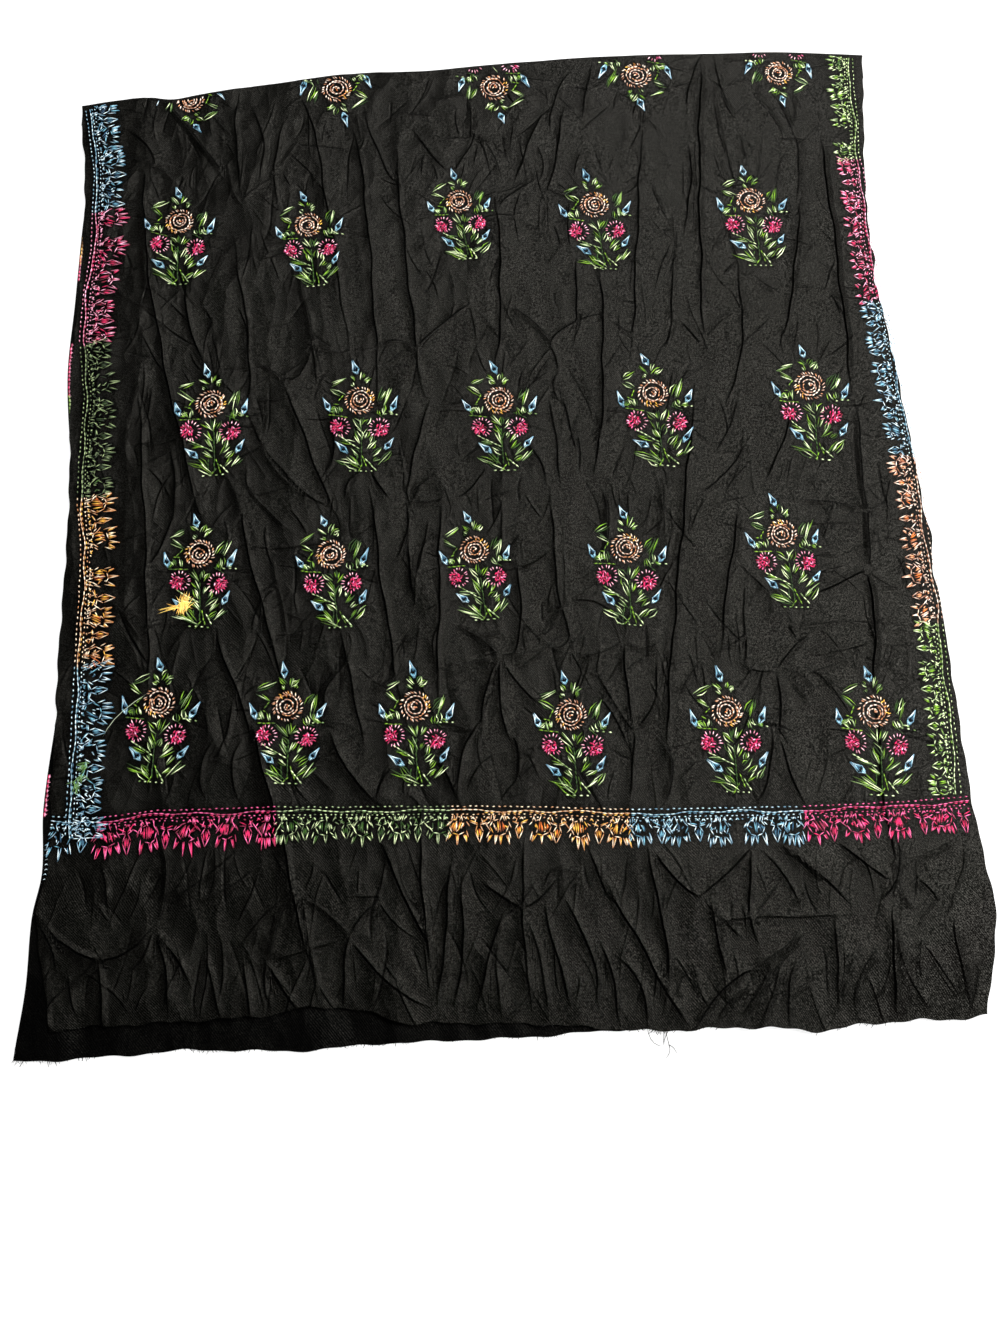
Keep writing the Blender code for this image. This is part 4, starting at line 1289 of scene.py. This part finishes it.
def sliver_stitches(rng, sliver):
    """The border of the lower stretch where it shows: a line along its side and cross stitches."""
    main, pale = FAMILIES[sliver.thread][:2]
    made = []
    for y in np.arange(sliver.end, sliver.start, 4.4):
        far_y = y + 5.0
        side = side_line("lower", "left", np.array([y, far_y]))
        x, far_x = side + sliver.inset + rng.uniform(-0.5, 0.5, 2)
        if sliver.lined:
            made.append(Stitch(x, y, far_x, far_y, pale, 0.9))
            made.append(Stitch(x - 0.8, y, far_x - 0.8, far_y, main, 1.1))
        else:
            made.append(Stitch(x + 0.2, y + 2.4, x + 2.6, y + 1.2, pale, 0.9))
        made.append(Stitch(x - 1.2, y + 1.0, x + 1.9, y + rng.uniform(2.0, 3.6), pale, 0.8))
    return made


def linear_colour(screen):
    """A colour as the shader wants it, from the 0 to 255 that a screen shows."""
    parts = [value / 255 for value in screen]
    curved = [p / 12.92 if p <= 0.04045 else ((p + 0.055) / 1.055) ** 2.4 for p in parts]
    return (*curved, 1.0)


class Value:
    """What a material works out from place to place. Reckoning with it makes the nodes."""

    def __init__(self, shading, socket):
        self.shading = shading
        self.socket = socket

    def __add__(self, other):
        return self.shading.maths("ADD", self, other)

    def __sub__(self, other):
        return self.shading.maths("SUBTRACT", self, other)

    def __rsub__(self, other):
        return self.shading.maths("SUBTRACT", other, self)

    def __mul__(self, other):
        return self.shading.maths("MULTIPLY", self, other)

    def __truediv__(self, other):
        return self.shading.maths("DIVIDE", self, other)

    def __abs__(self):
        return self.shading.maths("ABSOLUTE", self)

    def at_least(self, other):
        return self.shading.maths("MAXIMUM", self, other)

    def at_most(self, other):
        return self.shading.maths("MINIMUM", self, other)

    def sine(self):
        return self.shading.maths("SINE", self)


class Shading:
    """A material's node tree, with a node and its links made in one call."""

    def __init__(self, name):
        self.material = bpy.data.materials.new(name)
        self.material.use_nodes = True
        self.tree = self.material.node_tree
        self.place = self.value("TexCoord", "Object")

    def fill(self, node, inputs):
        for key, value in inputs.items():
            if isinstance(value, Value):
                self.tree.links.new(value.socket, node.inputs[key])
            else:
                node.inputs[key].default_value = value

    def value(self, kind, output, inputs=None, **settings):
        """An output of a new node, which has these inputs and settings."""
        node = self.tree.nodes.new("ShaderNode" + kind)
        for key, setting in settings.items():
            setattr(node, key, setting)
        self.fill(node, inputs or {})
        return Value(self, node.outputs[output])

    def maths(self, operation, first, second=0.0):
        return self.value("Math", 0, {0: first, 1: second}, operation=operation)

    def attribute(self, name):
        return self.value("Attribute", "Fac", attribute_name=name)

    def part(self, vector, axis):
        return self.value("SeparateXYZ", axis, {"Vector": vector})

    def noise(self, vector, scale, detail=2.0, roughness=0.5):
        inputs = {"Vector": vector, "Scale": scale, "Detail": detail, "Roughness": roughness}
        return self.value("TexNoise", "Fac", inputs)

    def bent(self, vector, scale, reach):
        """The place, shifted a little by a slow noise so that straight patterns wander."""
        drift = self.value("TexNoise", "Color", {"Vector": vector, "Scale": scale, "Detail": 2.0})
        drift = self.value("VectorMath", 0, {0: drift, 1: (0.5, 0.5, 0.5)}, operation="SUBTRACT")
        drift = self.value("VectorMath", 0, {0: drift, "Scale": reach}, operation="SCALE")
        return self.value("VectorMath", 0, {0: vector, 1: drift}, operation="ADD")

    def facets(self, vector, scale, stretch):
        """Flattish cells with sharp edges, drawn out along Y, such as crushed cloth has."""
        mapped = self.value("Mapping", 0, {"Vector": vector, "Scale": (1.0, stretch, 0.0)})
        return self.value("TexVoronoi", "Distance", {"Vector": mapped, "Scale": scale})

    def bump(self, height, distance, strength=1.0):
        inputs = {"Height": height, "Distance": distance, "Strength": strength}
        return self.value("Bump", "Normal", inputs)

    def finished(self, share, light, dark, inputs):
        """The material, its colour a share of the way from dark to light, its shader filled in."""
        ends = {0: share, 6: linear_colour(dark), 7: linear_colour(light)}
        colour = self.value("Mix", 2, ends, data_type="RGBA")
        self.fill(self.tree.nodes["Principled BSDF"], {"Base Color": colour, **inputs})
        return self.material


def crease_lines(shading):
    """Height in millimetres of the crisp lines that creases draw, and how much painted shade darkens
    their cores.
    """
    height = dark = 0.0
    for line in CREASE_LINES:
        off = shading.attribute(line.name + "_off")
        tall = shading.attribute(line.name + "_tall")
        fall = (off / line.steep).at_least(off / -line.broad)
        height = (1.0 - fall).at_least(0.0) * tall * line.share + height
        # Painted shade along the crease's core, fuller for taller creases
        core = (1.0 - abs(off - line.core) / line.core_width).at_least(0.0)
        dark = (core * (tall / line.full).at_most(1.0)).at_least(dark)
    return height, dark


def twill_height(shading, flat):
    """Height in millimetres of the weave: slanting ribs, and the yarns that cross them."""
    across, along = shading.part(flat, "X"), shading.part(flat, "Y")
    slant = across + along * 0.9 + shading.noise(flat, 9.0) * 0.006
    rib = (slant * (2 * math.pi / (TWILL_PITCH * math.sqrt(2)))).sine()
    yarn = (across * (2 * math.pi / YARN_PITCH)).sine()
    return rib * 0.07 + yarn * 0.02


def crushed_height(shading):
    """Height in millimetres of cloth that was packed away: facets with sharp edges, and a nap."""
    bent = shading.bent(shading.place, 14.0, 0.02)
    calm = 0.9 - shading.part(shading.place, "X") * 0.8
    height = (shading.facets(bent, 22.0, 0.5) * 6.0 + shading.facets(bent, 60.0, 0.6) * 2.0) * calm
    nap = shading.noise(shading.place, 620.0, 2.0, 0.8) * 0.05
    return height + shading.noise(shading.place, 230.0) * 0.12 + nap


def twill_material(name, light, dark, gloss, creased):
    """Black wool twill, crushed and a little napped, its colour and gloss a little uneven. Where it
    is creased, painted shade darkens its colour and gloss in the creases and round the stitches,
    the shade round the stitches more so at the left."""
    shading = Shading(name)
    flat = shading.value("UVMap", "UV", uv_map="flat_cut")
    height = twill_height(shading, flat) + crushed_height(shading)
    grain = shading.noise(shading.place, 800.0, 2.0, 0.9)
    share = shading.noise(shading.place, 7.0, 3.0, 0.6) * 0.6 + grain * 0.6
    shine = (grain * GLOSS_CONTRAST - GLOSS_FLOOR).at_least(0.15) * gloss
    if creased:
        lines, core = crease_lines(shading)
        height = height + lines
        # Painted shade round the stitches, stronger towards the left, taken with the painted shade of
        # the creases' cores
        sewn = shading.attribute("sewn") * (0.6 - shading.part(shading.place, "X") * 0.5)
        left = 1.0 - (core * 0.8).at_least(sewn)
        share = share * left
        shine = shine * left
    return shading.finished(share, light, dark, {
        "Roughness": 0.53, "Specular IOR Level": shine,
        "Specular Tint": linear_colour((255, 250, 236)), "Normal": shading.bump(height, MM),
    })


def thread_material(name, light, dark):
    """Embroidery floss: twisted strands with a soft shine, dyed a little unevenly. On sewn stitches its
    colour also carries a painted highlight at each stitch's middle and painted shade towards its ends.
    """
    shading = Shading(name)
    strand = (shading.attribute("twist") * (2 * math.pi)).sine()
    patch = shading.noise(shading.place, 160.0)
    share = shading.attribute("dye") + patch * 0.4 - 0.2 + strand * 0.12
    return shading.finished(share, light, dark, {
        "Roughness": 0.42, "Specular IOR Level": 0.4, "Normal": shading.bump(strand, 0.00022, 0.8),
    })


def yarn_material(name, light, dark):
    """Loose yarn of the cut ends: matt, fuzzy and uneven."""
    shading = Shading(name)
    share = shading.noise(shading.place, 240.0, 3.0, 0.7)
    normal = shading.bump(shading.noise(shading.place, 1500.0), 0.0002, 0.8)
    return shading.finished(share, light, dark, {
        "Roughness": 0.85, "Specular IOR Level": 0.25, "Normal": normal,
        "Sheen Weight": 0.1, "Sheen Roughness": 0.5,
    })


def floor_material():
    shading = Shading("pale_floor")
    share = shading.noise(shading.place, 3.0)
    return shading.finished(share, (122, 122, 121), (116, 116, 115), {
        "Roughness": 0.9, "Specular IOR Level": 0.1,
        "Emission Color": WHITE, "Emission Strength": 0.88,
    })


def tube_faces(rings):
    """Faces of one closed thread: a point, rings of four and a point."""
    last = 1 + RING_FACES * rings
    faces = []
    for side in range(RING_FACES):
        before = (side - 1) % RING_FACES
        after = (side + 1) % RING_FACES
        faces.append((0, 1 + side, 1 + before))
        faces.append((last, last - RING_FACES + before, last - RING_FACES + side))
        for ring in range(rings - 1):
            near = 1 + ring * RING_FACES
            far = near + RING_FACES
            faces.append((near + side, near + after, far + after, far + side))
    return faces


def thread_object(name, rows, twist, dye, kinds, materials):
    """A mesh of closed threads. rows holds each one's rings of corners, from one tip to the other."""
    points = np.concatenate(rows, axis=1)
    count, corners = points.shape[:2]
    pattern = tube_faces(len(rows) - 2)
    starts = np.arange(count) * corners
    faces = [tuple(int(start) + corner for corner in face) for start in starts for face in pattern]
    made = new_object(name, points.reshape(-1, 3), faces)
    for material in materials:
        made.data.materials.append(material)
    kinds = np.repeat(kinds, len(pattern)).astype(np.int32)
    made.data.polygons.foreach_set("material_index", kinds)
    add_field(made.data, "twist", twist)
    add_field(made.data, "dye", dye)
    return made


def sewn_object(name, stitches, face, rng):
    """Stitches as slim closed threads that follow a face of the cloth."""
    plan = np.array([s[:4] for s in stitches], float)
    width = np.array([s.width for s in stitches], float)
    bow = np.array([s.bow for s in stitches], float)
    start, end = plan[:, 0:2], plan[:, 2:4]
    run = end - start
    length = np.maximum(np.hypot(run[:, 0], run[:, 1]), 0.3)
    aside = np.stack([-run[:, 1], run[:, 0]], axis=1) / length[:, None]

    def corner(spot, lift):
        return np.column_stack([spot, face(*spot.T) + lift])

    rows = [corner(start, -STITCH_SINK)[:, None, :]]
    twist = [np.zeros((len(stitches), 1))]
    for share, thickness in STITCH_RINGS:
        half = width / 2 * thickness
        middle = start + run * share + aside * (bow * 4 * share * (1 - share))[:, None]
        left = middle + aside * half[:, None]
        right = middle - aside * half[:, None]
        level = np.maximum(face(*middle.T), (face(*left.T) + face(*right.T)) / 2)
        ring = [
            corner(left, 0.25 * half),
            np.column_stack([middle, level + STITCH_RISE * 2 * half]),
            corner(right, 0.25 * half),
            corner(middle, -STITCH_SINK),
        ]
        rows.append(np.stack(ring, axis=1))
        twist.append((length * share / TWIST_PITCH)[:, None] + np.arange(RING_FACES) / RING_FACES)
    rows.append(corner(end, -STITCH_SINK)[:, None, :])
    twist.append((length / TWIST_PITCH)[:, None])
    used = sorted({s.tone for s in stitches})
    kinds = np.array([used.index(s.tone) for s in stitches])
    # Painted light along each stitch: painted shade at the tips and towards the ends, a painted
    # highlight at the middle, times a random dye
    ring_painted_light = [0.0, *np.repeat(STITCH_PAINTED_LIGHT, RING_FACES), 0.0]
    dye = rng.uniform(0.15, 1.3, len(stitches))[:, None] * np.array(ring_painted_light)
    materials = [THREADS[tone] for tone in used]
    return thread_object(name, rows, np.concatenate(twist, axis=1), dye, kinds, materials)


def strand_object(name, paths, half, rng, material):
    """Loose threads along paths, each an array of points, thinning towards its free end."""
    count, stations = paths.shape[:2]
    run = np.diff(paths, axis=1)
    run = np.concatenate([run, run[:, -1:]], axis=1)
    plan = np.maximum(np.hypot(run[..., 0], run[..., 1]), 0.05)[..., None]
    aside = np.stack([-run[..., 1], run[..., 0], np.zeros_like(run[..., 0])], axis=-1) / plan
    up = np.array([0.0, 0.0, 1.0])
    rows = [paths[:, :1]]
    for station in range(1, stations - 1):
        thin = half[:, None] * (1.0 - 0.5 * station / stations)
        middle = paths[:, station]
        ring = [
            middle + aside[:, station] * thin, middle + up * thin,
            middle - aside[:, station] * thin, middle - up * thin,
        ]
        rows.append(np.stack(ring, axis=1))
    rows.append(paths[:, -1:])
    corners = 2 + RING_FACES * (stations - 2)
    dye = np.repeat(rng.uniform(0.3, 1.0, count), corners)
    no_twist = np.zeros(count * corners)
    return thread_object(name, rows, no_twist, dye, np.zeros(count, int), [material])


def fray_paths(rng, x, root_y, root_z, length, lean, floor_z):
    """Threads that leave a cut end towards the viewer, droop and curl a little."""
    s = STRAND_STATIONS
    curl = rng.normal(0, 0.16, len(x))[:, None] * length[:, None]
    across = x[:, None] + lean[:, None] * length[:, None] * s + curl * s**2
    along = root_y[:, None] - length[:, None] * s * (1 - 0.12 * s)
    level = np.maximum(between(root_z[:, None], floor_z, ease(1.3 * s)), floor_z)
    return np.stack([across, along, level], axis=-1)


def frayed_end(name, hem, face, span, spots, floor_z, offset):
    """A cut end's fringe of warp threads: a close short fuzz, longer in spots."""
    rng = seeded(offset)
    x = np.arange(*span, FRAY_PITCH)
    x = np.clip(x + rng.uniform(-0.6, 0.6, len(x)), *span)
    uneven = 0.8 + 0.5 * np.sin(x / 23) + 0.3 * np.sin(x / 7.1)
    length = FRAY_SHORTEST + rng.gamma(1.6, 0.8, len(x)) * uneven
    for middle, half_width, reach in spots:
        near = ease(1.5 * (1 - np.abs(x - middle) / half_width))
        length += reach * rng.uniform(0.2, 1.0, len(x)) * near
    length = np.clip(length, FRAY_SHORTEST, FRAY_LONGEST)
    lean = rng.normal(0, 0.35, len(x))
    root_y = hem(x) + 1.2
    root_z = face(x, root_y) - 0.6
    paths = fray_paths(rng, x, root_y, root_z, length, lean, floor_z)
    return strand_object(name, paths, rng.uniform(0.18, 0.34, len(x)), rng, black_yarn)


def fuzzy_tuft(name, sprays, offset, material):
    """Loose floss that lies on the face, in sprays: where, heading and spread, reach and count."""
    rng = seeded(offset)
    found = []
    s = STRAND_STATIONS
    for x, y, heading, spread, reach, count in sprays:
        turn = (math.radians(heading) + rng.normal(0, spread, count))[:, None]
        length = reach * rng.uniform(0.4, 1.0, count)[:, None]
        bend = rng.normal(0, 0.14, count)[:, None] * length
        root_x = x + rng.normal(0, 1.6, count)[:, None]
        across = root_x + np.cos(turn) * length * s - np.sin(turn) * bend * s**2
        root_y = y + rng.normal(0, 1.6, count)[:, None]
        along = root_y + np.sin(turn) * length * s + np.cos(turn) * bend * s**2
        lift = rng.uniform(0.1, 1.2, count)[:, None] * np.sin(math.pi * s)
        found.append(np.stack([across, along, upper_face(across, along) + 0.5 + lift], axis=-1))
    paths = np.concatenate(found)
    return strand_object(name, paths, rng.uniform(0.22, 0.38, len(paths)), rng, material)


def loose_threads(name, rows, level, offset, material):
    """Single threads that have come away, each along a smooth curve through its three points."""
    values = np.array(rows)
    s = STRAND_STATIONS[..., None]
    first, middle, last = (values[:, None, at:at + 2] for at in (0, 2, 4))
    plan = (1 - s) * (1 - 2 * s) * first + 4 * s * (1 - s) * middle + s * (2 * s - 1) * last
    height = level(plan[..., 0], plan[..., 1])
    paths = np.concatenate([plan, height[..., None]], axis=-1)
    return strand_object(name, paths, values[:, 6], seeded(offset), material)


def beside_hem(x, y):
    """Level of a thread that hangs out past the upper hem and comes down on the floor."""
    past = ease((upper_hem(x) + 1.0 - y) / 9.0)
    return between(upper_face(x, y) - 0.6, 0.5, past)


def on_face(x, y):
    return upper_face(x, y) + 0.6


# Camera: the photograph's, looking down at the cloth from its near side
camera_data = bpy.data.cameras.new("photo_camera")
camera_data.lens = camera_data.sensor_width * FOCAL / PHOTO_HEIGHT
camera_data.clip_start = 0.01
camera = bpy.data.objects.new("photo_camera", camera_data)
camera.rotation_euler = (TILT, 0.0, 0.0)
camera.location = (
    (LOOKED_AT[0] - MIDDLE_X) * MM,
    (LOOKED_AT[1] - MIDDLE_Y - DISTANCE * math.sin(TILT)) * MM,
    (LOOKED_AT[2] + DISTANCE * math.cos(TILT)) * MM,
)
bpy.context.scene.collection.objects.link(camera)
bpy.context.scene.camera = camera

# Materials
upper_twill = twill_material("upper_twill", (4, 4, 3), (1, 1, 1), 0.078, True)
# The lower stretch is the same cloth as the upper; its darker colour and weaker gloss are painted shade
lower_twill = twill_material("lower_twill", (2, 2, 2), (1, 1, 1), 0.03, False)
THREADS = {name: thread_material("thread_" + name, *pair) for name, pair in TONES.items()}
black_yarn = yarn_material("black_yarn", (46, 45, 42), (18, 18, 17))
pale_yarn = yarn_material("pale_yarn", (190, 200, 175), (140, 150, 125))
gold_floss = thread_material("gold_floss", (255, 222, 120), (232, 150, 50))
green_floss = thread_material("green_floss", (120, 160, 90), (40, 76, 30))

# Embroidery
embroidery = []
sewn_on_face = []


def sew_on_face(name, stitches, rng):
    """Sews on the upper stretch, whose colour gets painted shade round the stitches."""
    kept = on_upper_stretch(stitches)
    sewn_on_face.extend(kept)
    embroidery.append(sewn_object(name, kept, upper_face, rng))


for index, bouquet in enumerate(BOUQUETS):
    rng = seeded(100 + index)
    stitches = placed(bouquet_stitches(rng), bouquet.x, bouquet.y, bouquet.size, bouquet.lean)
    sew_on_face("bouquet_" + bouquet.name, stitches, rng)

for border_index, (line, hand, depth, axis, sections) in enumerate(BORDERS):
    for index, section in enumerate(sections):
        rng = seeded(200 + 10 * border_index + index)
        border = Border(line, hand, depth)
        sew_section(rng, border, axis, section)
        sew_on_face("border_" + section.name, border.made, rng)

for index, sliver in enumerate(SLIVERS):
    rng = seeded(250 + index)
    stitches = sliver_stitches(rng, sliver)
    embroidery.append(sewn_object("sliver_" + sliver.name, stitches, lower_face, rng))

# Cloth
front_cloth = front_sheet(upper_twill, sewn_field(sewn_on_face))
back_cloth = back_sheet(lower_twill)

# Cut ends and loose threads
front_fray = frayed_end("front_fringe", upper_hem, upper_face, (-384, 438), FRONT_SPOTS, 0.5, 301)
back_fray = frayed_end("back_fringe", lower_hem, lower_face, (-419, 150), BACK_SPOTS, 0.35, 302)
hem_threads = loose_threads("hem_threads", HEM_THREADS, beside_hem, 303, black_yarn)
stray_threads = loose_threads("stray_threads", STRAY_THREADS, on_face, 304, pale_yarn)
gold_tuft = fuzzy_tuft("gold_tuft", GOLD_SPRAYS, 305, gold_floss)
green_tuft = fuzzy_tuft("green_tuft", GREEN_SPRAYS, 306, green_floss)

# Floor and light
bpy.ops.mesh.primitive_plane_add(size=12.0, location=(0.0, 0.0, -0.0002))
floor = bpy.context.object
floor.name = "floor"
floor.data.materials.append(floor_material())

world = bpy.data.worlds.new("studio")
world.use_nodes = True
world.node_tree.nodes["Background"].inputs["Color"].default_value = WHITE
world.node_tree.nodes["Background"].inputs["Strength"].default_value = WORLD_LIGHT
bpy.context.scene.world = world
bpy.context.scene.view_settings.view_transform = "Standard"

for lamp in LAMPS:
    light = bpy.data.lights.new(lamp.name, "AREA")
    light.energy = lamp.power
    light.size = lamp.width
    lamp_object = bpy.data.objects.new(lamp.name, light)
    lamp_object.location = (lamp.x, lamp.y, lamp.z)
    towards = Vector((0.0, 0.0, 0.0)) - lamp_object.location
    lamp_object.rotation_euler = towards.to_track_quat("-Z", "Y").to_euler()
    bpy.context.scene.collection.objects.link(lamp_object)

# What each piece rides on, and the part's meshes that the pieces replace, hidden
loose = (hem_threads, stray_threads, gold_tuft, green_tuft)
for piece in (front_cloth, back_cloth, front_fray, back_fray, *loose, *embroidery):
    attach(piece, "root")
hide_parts("front_stretch")
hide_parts("back_stretch")
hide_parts("front_fray")
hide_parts("back_fray")
